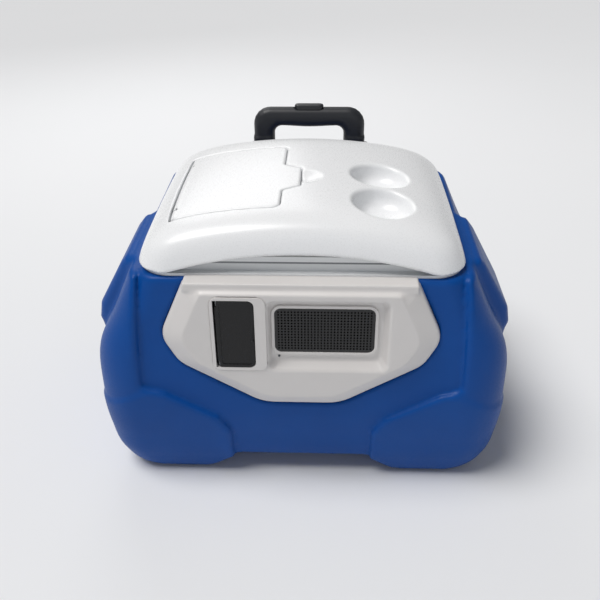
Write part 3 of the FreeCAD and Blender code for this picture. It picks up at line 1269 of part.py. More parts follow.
def grip():
    """Black arch that joins the inner tubes, with a pocket in its top for the release button."""
    y0, y1 = TUBE_Y - GRIP_DEPTH / 2, TUBE_Y + GRIP_DEPTH / 2
    low, high, bar = GRIP_LOW_Z, GRIP_TOP_Z, GRIP_BAR
    inner = GRIP_HALF - GRIP_LEG
    arch = along_y([(-GRIP_HALF, low, 3.0), (GRIP_HALF, low, 3.0), (GRIP_HALF, high, GRIP_OUTER_RADIUS),
                    (-GRIP_HALF, high, GRIP_OUTER_RADIUS)], y0, y1)
    hole = along_y([(-inner, low - 40, 3.0), (inner, low - 40, 3.0), (inner, high - bar, GRIP_INNER_RADIUS),
                    (-inner, high - bar, GRIP_INNER_RADIUS)], y0 - 1, y1 + 1)
    body = arch.cut(hole)
    edges = [e for e in body.Edges
             if abs(e.BoundBox.YMin - e.BoundBox.YMax) < 0.01 and e.BoundBox.ZMax > low + 1]
    body = body.makeFillet(GRIP_ROUNDING, edges)
    taken = both_sides(tube_plan(2, 0, 0, STAGE_TOP[2]))
    slot_low, slot_high = yoke_heights()
    reach = TUBE_X + ROD_RADIUS + 1
    taken.append(box(-reach, reach, TUBE_Y - YOKE_HALF - 0.5, TUBE_Y + YOKE_HALF + 0.5,
                     slot_low - RELEASE_TRAVEL - 0.5, slot_high + 0.3))
    taken.append(release_form(RELEASE_FIT, slot_low, GRIP_TOP_Z + 20))
    taken.append(rod_z(SPRING_RADIUS + SPRING_WIRE, slot_low - SPRING_LENGTH - RELEASE_TRAVEL - 0.5, slot_low, 0, TUBE_Y))
    taken += both_sides(rod_z(ROD_RADIUS + 0.5, STAGE_TOP[2] - 1, slot_low, TUBE_X, TUBE_Y))
    return body.cut(taken)


def yoke_heights():
    """Bottom and top of the bar under the release button, at rest."""
    top = GRIP_TOP_Z - RELEASE_SKIN
    return top - YOKE_THICK, top


def release_form(grow, low, high):
    return along_z(rectangle(-RELEASE_HALF - grow, RELEASE_HALF + grow, TUBE_Y - RELEASE_WIDTH / 2 - grow,
                             TUBE_Y + RELEASE_WIDTH / 2 + grow, RELEASE_WIDTH / 2 + grow - 0.2), low, high)


def release_button():
    _, low = yoke_heights()
    cap = release_form(0.0, low, GRIP_TOP_Z + RELEASE_PROUD)
    top = [e for e in cap.Edges if e.BoundBox.ZMin > GRIP_TOP_Z + RELEASE_PROUD - 0.1]
    return cap.makeFillet(2.5, top)


def push_yoke():
    """Bar under the button with two rods that run down inside the inner tubes to the locking pins."""
    low, high = yoke_heights()
    reach = TUBE_X + ROD_RADIUS
    bar = box(-reach, reach, TUBE_Y - YOKE_HALF, TUBE_Y + YOKE_HALF, low, high)
    return joined([bar] + both_sides(rod_z(ROD_RADIUS, PIN_Z + ROD_END, low, TUBE_X, TUBE_Y)))


def button_spring():
    """Coil spring under the yoke, in the middle of the grip."""
    low, _ = yoke_heights()
    climb = SPRING_LENGTH - SPRING_WIRE
    helix = Part.makeHelix(climb / SPRING_TURNS, climb, SPRING_RADIUS)
    circle = Part.Wire([Part.makeCircle(SPRING_WIRE / 2, V(SPRING_RADIUS, 0, 0), V(0, 1, 0))])
    coil = Part.Wire(helix).makePipeShell([circle], True, True)
    coil.translate(V(0, TUBE_Y, low - SPRING_LENGTH + SPRING_WIRE / 2))
    return coil


def lock_pin(side):
    """Locking pin near the lower end of an inner tube, its tip just inside the bore of the middle tube."""
    across, _, wall = TUBE_SIZES[1]
    end = TUBE_X + across / 2 - wall - 0.3
    pin = rod_x(PIN_RADIUS, end - PIN_LENGTH, end, TUBE_Y, PIN_Z)
    return pin if side > 0 else mirrored(pin)


# ================================================================ wheels
def wheel_hub():
    """Right wheel without its tyre: rim, web with holes, hub."""
    x0, x1 = WHEEL_INNER_X, WHEEL_INNER_X + WHEEL_WIDTH
    rim = WHEEL_RADIUS - TYRE_THICK
    mid = (x0 + x1) / 2
    bore = HUB_BORE
    profile = [(x0 + 1, bore), (x0 + 1, HUB_RADIUS), (mid - RIM_WEB / 2, HUB_RADIUS + 3),
               (mid - RIM_WEB / 2, rim - 9), (x0 + 3, rim - 6), (x0 + 3, rim), (x1 - 3, rim), (x1 - 3, rim - 6),
               (mid + RIM_WEB / 2, rim - 9), (mid + RIM_WEB / 2, HUB_RADIUS + 3), (x1 - 3, HUB_RADIUS), (x1 - 3, bore)]
    wheel = turned_x(profile, WHEEL_Y, WHEEL_RADIUS)
    holes = []
    for k in range(SPOKE_HOLES):
        angle = 2 * math.pi * k / SPOKE_HOLES
        y = WHEEL_Y + SPOKE_CIRCLE * math.cos(angle)
        z = WHEEL_RADIUS + SPOKE_CIRCLE * math.sin(angle)
        holes.append(rod_x(SPOKE_HOLE_RADIUS, x0, x1, y, z))
    return wheel.cut(holes)


def wheel_tyre():
    """Right tyre with a slightly crowned, grooved tread."""
    x0, x1 = WHEEL_INNER_X, WHEEL_INNER_X + WHEEL_WIDTH
    rim = WHEEL_RADIUS - TYRE_THICK
    profile = [(x0 + 3, rim), (x0, rim + 4), (x0, WHEEL_RADIUS - 5), (x0 + 4, WHEEL_RADIUS - 1), (x0 + 10, WHEEL_RADIUS)]
    for k in range(3):
        x = x0 + WHEEL_WIDTH * (0.3 + 0.2 * k)
        profile += [(x - 1.5, WHEEL_RADIUS), (x - 1.0, WHEEL_RADIUS - 2.5), (x + 1.0, WHEEL_RADIUS - 2.5),
                    (x + 1.5, WHEEL_RADIUS)]
    profile += [(x1 - 10, WHEEL_RADIUS), (x1 - 4, WHEEL_RADIUS - 1), (x1, WHEEL_RADIUS - 5), (x1, rim + 4), (x1 - 3, rim)]
    return turned_x(profile, WHEEL_Y, WHEEL_RADIUS)


HUB_BORE = AXLE_RADIUS + AXLE_FIT + BUSH_WALL
AXLE_END_X = WHEEL_INNER_X + WHEEL_WIDTH + 2.0


def wheel_bush():
    """Bush in the right hub that turns on the axle."""
    x0, x1 = WHEEL_INNER_X + 1, WHEEL_INNER_X + WHEEL_WIDTH - 3
    return rod_x(HUB_BORE, x0, x1, WHEEL_Y, WHEEL_RADIUS).cut(
        rod_x(AXLE_RADIUS + AXLE_FIT, x0 - 1, x1 + 1, WHEEL_Y, WHEEL_RADIUS))


def wheel_axle():
    return rod_x(AXLE_RADIUS, -AXLE_END_X, AXLE_END_X, WHEEL_Y, WHEEL_RADIUS)


def axle_sleeve():
    """Tube through the body that the axle is pressed into."""
    outer = rod_x(AXLE_RADIUS + AXLE_FIT + AXLE_TUBE_WALL, -SLEEVE_END_X, SLEEVE_END_X, WHEEL_Y, WHEEL_RADIUS)
    return outer.cut(rod_x(AXLE_RADIUS, -FAR, FAR, WHEEL_Y, WHEEL_RADIUS))


SLEEVE_END_X = WHEEL_INNER_X - 1.0


def axle_caps():
    """Push-on caps that keep the wheels on the axle."""
    x0 = AXLE_END_X - AXLE_CAP_THICK + 1.5
    cap = rod_x(AXLE_CAP_RADIUS, x0, AXLE_END_X + 1.5, WHEEL_Y, WHEEL_RADIUS)
    return both_sides(cap.cut(rod_x(AXLE_RADIUS, x0 - 1, AXLE_END_X, WHEEL_Y, WHEEL_RADIUS)))


# ================================================================ lid hinges
def hinge_body_leaf(x):
    """Lower leaf of one hinge: a foot on the deck and two knuckles."""
    foot = box(x - HINGE_HALF, x + HINGE_HALF, HINGE_Y - 5, HINGE_Y + 20, BODY_HEIGHT, BODY_HEIGHT + HINGE_LEAF)
    parts = [foot]
    for side in (1, -1):
        a, b = sorted((x + side * (HINGE_EYE + HINGE_SIDE_GAP), x + side * HINGE_HALF))
        parts.append(rod_x(HINGE_KNUCKLE, a, b, HINGE_Y, HINGE_Z))
        parts.append(box(a, b, HINGE_Y - 5, HINGE_Y + HINGE_KNUCKLE, BODY_HEIGHT, HINGE_Z))
    leaf = joined(parts)
    holes = [rod_z(SCREW_RADIUS, 0, FAR, p.x, p.y) for p in hinge_screw_places(x)]
    return leaf.cut([rod_x(HINGE_PIN_RADIUS, x - FAR, x + FAR, HINGE_Y, HINGE_Z)] + holes)


def hinge_screw_places(x):
    return [V(x + side * 12.0, HINGE_Y + 14, BODY_HEIGHT + HINGE_LEAF) for side in (1, -1)]


def hinge_lid_leaf(x, form):
    """Upper leaf of one hinge: a plate on the back of the lid's skirt and one knuckle."""
    back = HINGE_Y - HINGE_KNUCKLE - 2.0
    plate = box(x - HINGE_HALF, x + HINGE_HALF, LID_BACK_Y - 8, back, BODY_HEIGHT + 13, HINGE_LEAF_TOP)
    knuckle = rod_x(HINGE_KNUCKLE, x - HINGE_EYE, x + HINGE_EYE, HINGE_Y, HINGE_Z)
    arm = box(x - HINGE_EYE, x + HINGE_EYE, back - 2, HINGE_Y, HINGE_Z - HINGE_KNUCKLE + 1, HINGE_Z + HINGE_KNUCKLE)
    leaf = joined([plate.cut(form), knuckle, arm])
    return leaf.cut(rod_x(HINGE_PIN_RADIUS + HINGE_PIN_FIT, x - FAR, x + FAR, HINGE_Y, HINGE_Z))


def hinge_pins():
    return [rod_x(HINGE_PIN_RADIUS, x - HINGE_HALF - 1, x + HINGE_HALF + 1, HINGE_Y, HINGE_Z)
            for x in (HINGE_X, -HINGE_X)]


def hinge_screw_set():
    return [(p, V(0, 0, -1)) for x in (HINGE_X, -HINGE_X) for p in hinge_screw_places(x)]


def hinge_screws():
    return [screw(at, way) for at, way in hinge_screw_set()]


# ================================================================ drain
def drain_fitting():
    """White tube from the liner's side to the outside, with a flange inside and a threaded end outside."""
    inner_x = drain_inner_x()
    out = drain_wall_x() + DRAIN_THREAD_OUT
    tube = rod_x(DRAIN_TUBE_RADIUS, inner_x - DRAIN_FLANGE_THICK, out, DRAIN_Y, DRAIN_Z)
    flange = rod_x(DRAIN_FLANGE, inner_x - DRAIN_FLANGE_THICK, inner_x, DRAIN_Y, DRAIN_Z)
    bore = rod_x(DRAIN_TUBE_BORE, 0, FAR, DRAIN_Y, DRAIN_Z)
    return tube.fuse(flange.cut(liner_solid())).cut(bore).removeSplitter()


def liner_solid():
    """Wall and outside of the liner near the drain, which the fitting's flange rests against."""
    return box(-FAR, FAR, -FAR, FAR, -FAR, FAR).cut(liner_form(0, LINER_FLOOR_Z, BODY_HEIGHT + FLANGE_THICK + 1))


def drain_inner_x():
    """X of the liner's side at the drain's height."""
    share = (BODY_HEIGHT - DRAIN_Z) / (BODY_HEIGHT - LINER_FLOOR_Z)
    return LINER_HALF_TOP - LINER_DRAFT * share


def drain_gasket():
    x = drain_wall_x()
    ring = rod_x(DRAIN_FLANGE, x, x + 2.0, DRAIN_Y, DRAIN_Z)
    return ring.cut(rod_x(DRAIN_TUBE_RADIUS, x - 1, x + 3, DRAIN_Y, DRAIN_Z))


def drain_nut():
    """Six-sided nut that clamps the fitting to the body."""
    x = drain_wall_x() + 2.0
    points = [V(x, DRAIN_Y + DRAIN_NUT_RADIUS * math.cos(k * math.pi / 3),
                DRAIN_Z + DRAIN_NUT_RADIUS * math.sin(k * math.pi / 3)) for k in range(7)]
    nut = Part.Face(Part.makePolygon(points)).extrude(V(DRAIN_NUT_THICK, 0, 0))
    return nut.cut(rod_x(DRAIN_TUBE_RADIUS, x - 1, FAR, DRAIN_Y, DRAIN_Z))


def drain_cap():
    """Ribbed cap pushed over the end of the fitting."""
    x0 = drain_wall_x() + 2.0 + DRAIN_NUT_THICK + 0.5
    x1 = drain_wall_x() + DRAIN_THREAD_OUT + 1.5 + DRAIN_CAP_WALL
    cap = rod_x(DRAIN_CAP_RADIUS, x0, x1, DRAIN_Y, DRAIN_Z)
    cap = cap.cut(rod_x(DRAIN_TUBE_RADIUS + DRAIN_CAP_FIT, x0 - 1, x1 - DRAIN_CAP_WALL, DRAIN_Y, DRAIN_Z))
    ribs = []
    for k in range(DRAIN_CAP_RIBS):
        angle = 2 * math.pi * k / DRAIN_CAP_RIBS
        ribs.append(rod_x(1.2, x0, x1 - 1, DRAIN_Y + DRAIN_CAP_RADIUS * math.cos(angle),
                          DRAIN_Z + DRAIN_CAP_RADIUS * math.sin(angle)))
    return cap.fuse(ribs).removeSplitter()


def cap_seal():
    x1 = drain_wall_x() + DRAIN_THREAD_OUT + 1.5
    disc = rod_x(DRAIN_TUBE_RADIUS - 0.3, x1 - 1.2, x1, DRAIN_Y, DRAIN_Z)
    return disc


# ================================================================ pieces
def build():
    outer, cavity = body_solid_and_cavity()
    forms = {k: lid_form(k) for k in (0, LID_SKIN, HATCH_THICK / 2, HATCH_THICK, HATCH_THICK + HATCH_SEAT)}
    leaves = (HINGE_X, -HINGE_X)
    hub, tyre, bush = wheel_hub(), wheel_tyre(), wheel_bush()
    return {
        "outer_shell": [outer_shell(outer, cavity)],
        "insulation_foam": [insulation_foam(cavity)],
        "inner_liner": [inner_liner()],
        "foot_pads": foot_pads(),
        "front_panel": [front_panel()],
        "panel_clips": panel_clips(),
        "speaker_frame": [speaker_frame()],
        "speaker_grille": [speaker_grille()],
        "speaker_box": [speaker_box()],
        "driver_baskets": driver_baskets(),
        "driver_magnets": driver_magnets(),
        "driver_cones": driver_cones(),
        "driver_surrounds": driver_surrounds(),
        "amplifier_board": [amplifier_board()],
        "battery_pack": [battery_pack()],
        "door_bezel": [door_bezel()],
        "charger_tray": [charger_tray()],
        "usb_sockets": usb_sockets(),
        "power_button": [power_button()],
        "status_led": [status_led()],
        "charger_door": [charger_door()],
        "door_pin": [door_pin()],
        "lid_shell": [lid_shell(forms)],
        "lid_tray": [lid_tray()],
        "lid_foam": [lid_foam(forms)],
        "lid_gasket": [lid_gasket()],
        "hatch_frame": [hatch_frame(forms)],
        "hatch_pins": hatch_pins_block(HATCH_PIN_RADIUS),
        "hatch_door": [hatch_door(forms)],
        "hatch_seal": [hatch_seal(forms)],
        "hinge_body_leaves": [hinge_body_leaf(x) for x in leaves],
        "hinge_lid_leaves": [hinge_lid_leaf(x, forms[0]) for x in leaves],
        "hinge_pins": hinge_pins(),
        "hinge_screws": hinge_screws(),
        "handle_bracket": [handle_bracket()],
        "lower_bracket": [lower_bracket()],
        "handle_screws": handle_screws(),
        "outer_tubes": tubes(0),
        "middle_tubes": tubes(1),
        "guide_rings": guide_rings(),
        "inner_tubes": tubes(2),
        "grip": [grip()],
        "release_button": [release_button()],
        "push_yoke": [push_yoke()],
        "button_spring": [button_spring()],
        "lock_pin_right": [lock_pin(1)],
        "lock_pin_left": [lock_pin(-1)],
        "axle_sleeve": [axle_sleeve()],
        "wheel_axle": [wheel_axle()],
        "axle_caps": axle_caps(),
        "wheel_right": [hub],
        "wheel_left": [mirrored(hub)],
        "tyre_right": [tyre],
        "tyre_left": [mirrored(tyre)],
        "bush_right": [bush],
        "bush_left": [mirrored(bush)],
        "drain_fitting": [drain_fitting()],
        "drain_gasket": [drain_gasket()],
        "drain_nut": [drain_nut()],
        "drain_cap": [drain_cap()],
    }


def solids_of(shapes):
    """All solids in a list of shapes, as one shape when there is only one."""
    found = [solid for shape in shapes for solid in shape.Solids]
    return found[0] if len(found) == 1 else Part.makeCompound(found)


os.makedirs("parts", exist_ok=True)
for name, shapes in build().items():
    part = solids_of(shapes)
    part.exportStep("parts/%s.step" % name)
    print("%-18s solids %2d  volume %10.0f mm3  valid %s" % (name, len(part.Solids), part.Volume, part.isValid()))
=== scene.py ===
# %% [markdown]
# # A party cooler on wheels
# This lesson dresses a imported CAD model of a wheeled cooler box. The CAD gives every hinge, tube and screw
# its place. Here we add the soft moulded shapes and the finishes that make plastic look like plastic.
# Lengths are worked out in millimetres, because that is how the pieces were designed, and turned into
# metres only when a mesh is made.

# %% Load the frame
import math

import bpy
import numpy as np
from mathutils import Matrix


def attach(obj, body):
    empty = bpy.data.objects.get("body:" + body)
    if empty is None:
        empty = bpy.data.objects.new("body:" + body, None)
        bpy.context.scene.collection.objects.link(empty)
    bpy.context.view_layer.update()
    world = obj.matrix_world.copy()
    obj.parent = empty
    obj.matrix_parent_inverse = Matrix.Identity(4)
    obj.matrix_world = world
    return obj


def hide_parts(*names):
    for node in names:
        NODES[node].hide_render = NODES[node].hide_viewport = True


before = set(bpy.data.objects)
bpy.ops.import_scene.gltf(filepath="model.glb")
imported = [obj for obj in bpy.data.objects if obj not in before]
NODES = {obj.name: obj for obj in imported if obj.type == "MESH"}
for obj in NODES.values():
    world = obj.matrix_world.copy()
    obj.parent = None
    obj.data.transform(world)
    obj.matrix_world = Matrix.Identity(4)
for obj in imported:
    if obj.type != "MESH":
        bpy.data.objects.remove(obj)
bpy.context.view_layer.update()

MM = 0.001

# %% [markdown]
# ## Helpers for smooth moulded shapes
# A rotomoulded or injection-moulded body has no sharp edges: every face runs into the next through a small
# radius. A neat way to get that is a *distance field*. For each point in space a function gives the distance
# to the surface, negative inside. Two shapes join with a soft minimum and cut with a soft maximum, which
# leave a fillet of the size we ask for. A grid of points then finds the surface, one small quad per cell.


# %% Soft joins and cuts
def join(a, b, k):
    """Union with a fillet: the smaller value, less h*h*k/4.

    h falls from 1 to 0 as |a-b| goes from 0 to k.
    """
    h = np.maximum(k - np.abs(a - b), 0) / k
    return np.minimum(a, b) - h * h * k / 4


def meet(a, b, k):
    """Intersection with a fillet, the mirror of join."""
    return -join(-a, -b, k)


def cut(a, b, k):
    """a with b taken away, its edges rounded over about k."""
    return meet(a, -b, k)


# %% Plane outlines
def rounded_rect(u, v, half_u, half_v, radius):
    """Distance to a rounded rectangle: the distance to a smaller sharp one, less the radius."""
    a = np.abs(u) - half_u + radius
    b = np.abs(v) - half_v + radius
    return np.hypot(np.maximum(a, 0), np.maximum(b, 0)) + np.minimum(np.maximum(a, b), 0) - radius


def polygon(u, v, corners):
    """Distance to a closed polygon: the distance to its nearest edge.

    It is negative where a ray crosses the outline an odd number of times.
    """
    u, v = np.broadcast_arrays(u, v)
    best = np.full(u.shape, 1e12)
    inside = np.zeros(u.shape, bool)
    for (ax, ay), (bx, by) in zip(corners, np.roll(corners, -1, axis=0)):
        ex, ey = bx - ax, by - ay
        t = np.clip(((u - ax) * ex + (v - ay) * ey) / (ex * ex + ey * ey), 0, 1)
        best = np.minimum(best, (u - ax - t * ex) ** 2 + (v - ay - t * ey) ** 2)
        if ey != 0:
            crosses = ((ay > v) != (by > v)) & (u < ax + (v - ay) / ey * ex)
            inside ^= crosses
    return np.where(inside, -np.sqrt(best), np.sqrt(best))


def soft_corners(corners, steps=7):
    """Points of a polygon whose (x, y, radius) corners become arcs.

    With half the corner's angle a, the arc starts radius / tan(a) along each side and its centre is
    radius / sin(a) along the bisector.
    """
    points = []
    count = len(corners)
    for k in range(count):
        here = np.array(corners[k][:2], float)
        one = np.array(corners[k - 1][:2], float) - here
        two = np.array(corners[(k + 1) % count][:2], float) - here
        one /= np.linalg.norm(one)
        two /= np.linalg.norm(two)
        half = math.acos(float(np.clip(one @ two, -1, 1))) / 2
        reach = corners[k][2] / math.tan(half)
        centre = here + (one + two) / np.linalg.norm(one + two) * corners[k][2] / math.sin(half)
        start, end = here + one * reach - centre, here + two * reach - centre
        for s in np.linspace(0, 1, steps):
            spoke = start * (1 - s) + end * s
            points.append(centre + spoke / max(np.linalg.norm(spoke), 1e-9) * corners[k][2])
    return np.array(points)


def mirrored_outline(right):
    """A right-hand half outline, top to bottom, closed with its mirror image."""
    return list(right) + [(-x, z, r) for x, z, r in reversed(right)]


def curve(z, knots, values):
    """Smooth curve through (knot, value) pairs: cubic pieces whose slopes are the mean slopes at the knots."""
    knots, values = np.asarray(knots, float), np.asarray(values, float)
    slopes = np.gradient(values, knots)
    z = np.clip(z, knots[0], knots[-1])
    k = np.clip(np.searchsorted(knots, z) - 1, 0, len(knots) - 2)
    step = knots[k + 1] - knots[k]
    t = (z - knots[k]) / step
    return ((2 * t**3 - 3 * t**2 + 1) * values[k] + (t**3 - 2 * t**2 + t) * step * slopes[k]
            + (3 * t**2 - 2 * t**3) * values[k + 1] + (t**3 - t**2) * step * slopes[k + 1])


# %% [markdown]
# ### From a field to a mesh
# The net takes every grid edge whose two ends lie on different sides of the surface. Each small cube that
# such edges belong to gets one point, the mean of its crossings, and each crossing edge gets one quad between
# its four cubes. The points are then moved along the field's slope until they lie on the surface.


# %% Surface net
def make_mesh(name, points, faces, smooth=True):
    """A mesh object from points in millimetres and an array of quads or triangles."""
    size = faces.shape[1]
    mesh = bpy.data.meshes.new(name)
    mesh.vertices.add(len(points))
    mesh.vertices.foreach_set("co", (np.asarray(points, np.float64) * MM).astype(np.float32).ravel())
    mesh.loops.add(faces.size)
    mesh.loops.foreach_set("vertex_index", faces.astype(np.int32).ravel())
    mesh.polygons.add(len(faces))
    mesh.polygons.foreach_set("loop_start", np.arange(0, faces.size, size, dtype=np.int32))
    mesh.update(calc_edges=True)
    mesh.polygons.foreach_set("use_smooth", np.full(len(faces), smooth))
    mesh.validate()
    piece = bpy.data.objects.new(name, mesh)
    bpy.context.scene.collection.objects.link(piece)
    return piece


def slope(field, p, step=0.05):
    """The field's gradient at points p, by central differences."""
    out = np.empty_like(p)
    for k in range(3):
        one, two = p.copy(), p.copy()
        one[:, k] += step
        two[:, k] -= step
        out[:, k] = (field(*one.T) - field(*two.T)) / (2 * step)
    return out


MARGIN_BEFORE, MARGIN_AFTER = 2.37, 2.5   # cells around the box; the odd share keeps flat faces off the grid
SETTLE_STEPS, SETTLE_REACH = 3, 0.4       # moves onto the surface, and the longest move as a share of a cell
LEAST_SLOPE = 0.05


def surface_net(name, field, low, high, cell):
    """A mesh of the surface where field is zero, inside the box low..high, with cubes of side cell.

    A point is the mean of its cube's crossings; then it moves by -field * slope / |slope|^2.
    """
    axes = [np.arange(a - MARGIN_BEFORE * cell, b + MARGIN_AFTER * cell, cell) for a, b in zip(low, high)]
    value = np.array(np.broadcast_to(
        field(axes[0][:, None, None], axes[1][None, :, None], axes[2][None, None, :]),
        [len(a) for a in axes]), dtype=np.float32)
    cubes = [n - 1 for n in value.shape]
    total = np.zeros((cubes[0] * cubes[1] * cubes[2], 3))
    count = np.zeros(len(total))
    quads = []
    for axis in range(3):
        turned = np.moveaxis(value, axis, 0)
        hit = np.argwhere((turned[:-1] < 0) != (turned[1:] < 0))
        first = turned[:-1][tuple(hit.T)]
        last = turned[1:][tuple(hit.T)]
        order = [axis] + [k for k in range(3) if k != axis]
        index = np.empty_like(hit)
        index[:, order] = hit
        place = index.astype(float)
        place[:, axis] += first / (first - last)
        around = []
        for da, db in ((-1, -1), (0, -1), (0, 0), (-1, 0)):
            cube = index.copy()
            cube[:, order[1]] += da
            cube[:, order[2]] += db
            around.append(np.ravel_multi_index(cube.T, cubes))
        around = np.stack(around, axis=1)
        for k in range(3):
            total[:, k] += np.bincount(around.ravel(), np.repeat(place[:, k], 4), len(total))
        count += np.bincount(around.ravel(), minlength=len(total))
        flip = (first >= 0) ^ (axis == 1)
        quads.append(np.where(flip[:, None], around[:, ::-1], around))
    used = count > 0
    number = np.cumsum(used) - 1
    p = total[used] / count[used, None] * cell + np.array([a[0] for a in axes])
    for _ in range(SETTLE_STEPS):
        g = slope(field, p)
        move = (field(*p.T) / np.maximum((g * g).sum(1), LEAST_SLOPE))[:, None] * g
        p -= np.clip(move, -SETTLE_REACH * cell, SETTLE_REACH * cell)
    piece = make_mesh(name, p, number[np.concatenate(quads)])
    print(f"{name}: {len(piece.data.polygons)} quads")
    return piece


# %% [markdown]
# ## The camera and the light
# The cooler stands on a pale floor and is seen from a little above the front. Soft light comes mostly from
# the upper left, as from a window, with a weaker fill on the right so that the blue does not go black there.

# %% Camera
LENS_MM = 46.0
CAMERA_RISE = math.radians(31.0)
CAMERA_TURN = math.radians(2.3)
CAMERA_ROLL = math.radians(-0.5)
CAMERA_AIM = np.array([-9.0, -9.0, 172.0])
CAMERA_DISTANCE = 1210.0


def place_object(thing, across, upward, away, at):
    """Stands an object at a point in metres, with its own x, y and z along three given directions."""
    grid = np.eye(4)
    grid[:3, 0], grid[:3, 1], grid[:3, 2], grid[:3, 3] = across, upward, away, at
    bpy.context.scene.collection.objects.link(thing)
    thing.matrix_world = Matrix([list(row) for row in grid])


back = np.array([math.sin(CAMERA_TURN) * math.cos(CAMERA_RISE),
                 -math.cos(CAMERA_TURN) * math.cos(CAMERA_RISE), math.sin(CAMERA_RISE)])
level = np.cross(-back, [0, 0, 1])
level /= np.linalg.norm(level)
upward = np.cross(back, level)
side = math.cos(CAMERA_ROLL) * level + math.sin(CAMERA_ROLL) * upward
camera = bpy.data.objects.new("camera", bpy.data.cameras.new("camera"))
camera.data.sensor_width = 36.0
camera.data.lens = LENS_MM
place_object(camera, side, np.cross(back, side), back, (CAMERA_AIM + back * CAMERA_DISTANCE) * MM)
bpy.context.scene.camera = camera
bpy.context.scene.view_settings.view_transform = "Standard"
print("camera at", np.round((CAMERA_AIM + back * CAMERA_DISTANCE) * MM, 3))


# %% Colour
def linear(code):
    """Linear colour from sRGB hex: up to 0.04045 divide by 12.92, above it ((c + 0.055) / 1.055) ** 2.4."""
    parts = [int(code[k:k + 2], 16) / 255 for k in (1, 3, 5)]
    return [c / 12.92 if c <= 0.04045 else ((c + 0.055) / 1.055) ** 2.4 for c in parts] + [1.0]


# %% Lamps and floor
def soft_lamp(name, at, aim, size, watts, tint="#FFFFFF"):
    """A square area lamp of side size metres at a point, turned towards another."""
    lamp = bpy.data.lights.new(name, "AREA")
    lamp.size = size
    lamp.energy = watts
    lamp.color = linear(tint)[:3]
    away = np.array(at) - np.array(aim)
    away = away / np.linalg.norm(away)
    across = np.cross([0, 0, 1], away)
    across /= np.linalg.norm(across)
    place_object(bpy.data.objects.new(name, lamp), across, np.cross(away, across), away, at)


SKY_STRENGTH = 2.45
SKY_SPREAD = math.radians(32)       # a wide sun gives the soft shadow edges of a large window
SKY_FROM = [-0.42, -0.16, 1.0]
ROOM_STRENGTH = 0.2
sky = bpy.data.lights.new("skylight", "SUN")
sky.energy = SKY_STRENGTH
sky.angle = SKY_SPREAD
sky.color = linear("#FFFDFB")[:3]
high = np.array(SKY_FROM)
high /= np.linalg.norm(high)
across = np.cross([0, 1, 0], high)
across /= np.linalg.norm(across)
place_object(bpy.data.objects.new("skylight", sky), across, np.cross(high, across), high, high * 2)
soft_lamp("fill", (0.4, -2.4, 1.1), (0.0, 0.0, 0.2), 1.8, 5, "#F4F8FF")
soft_lamp("behind", (-0.6, 1.7, 1.5), (0.0, 0.1, 0.3), 1.2, 8)
world = bpy.data.worlds.new("pale room")
world.use_nodes = True
world.node_tree.nodes["Background"].inputs["Color"].default_value = linear("#F9FAFD")
world.node_tree.nodes["Background"].inputs["Strength"].default_value = ROOM_STRENGTH
bpy.context.scene.world = world
FLOOR_HALF = 20000.0
floor_points = np.array([[-FLOOR_HALF, -FLOOR_HALF, 0], [FLOOR_HALF, -FLOOR_HALF, 0],
                         [FLOOR_HALF, FLOOR_HALF, 0], [-FLOOR_HALF, FLOOR_HALF, 0]])
floor = make_mesh("floor", floor_points, np.array([[0, 1, 2, 3]]), smooth=False)
print("lamps:", len(bpy.data.lights), "floor half width in metres:", FLOOR_HALF * MM)

# %% [markdown]
# ## Materials
# Nearly everything here is moulded plastic, and what tells one plastic from another is how its surface was
# made. Rotomoulded polyethylene cools against a sprayed mould, so it has a soft orange-peel ripple and a dull
# shine. Injection-moulded ABS is smoother and glossier. The handle has a spark-eroded texture like fine
# leather. One function adds a node with its settings and links, and the finishes are put together from it.


# %% Node and finish helpers
def add(tree, kind, settings=(), links=(), **values):
    """Adds a node: settings are its properties, values fill sockets.

    Each link is (socket name, other node, the other node's socket).
    """
    made = tree.nodes.new(kind)
    for key, value in dict(settings).items():
        setattr(made, key, value)
    for key, value in values.items():
        made.inputs[key.replace("_", " ")].default_value = value
    for socket, other, output in links:
        tree.links.new(other.outputs[output], made.inputs[socket])
    return made


COAT_ROUGHNESS = 0.25
GRAIN_LOW, GRAIN_HIGH = 0.3, 0.7    # noise seldom leaves this band, so it spans the whole gloss range


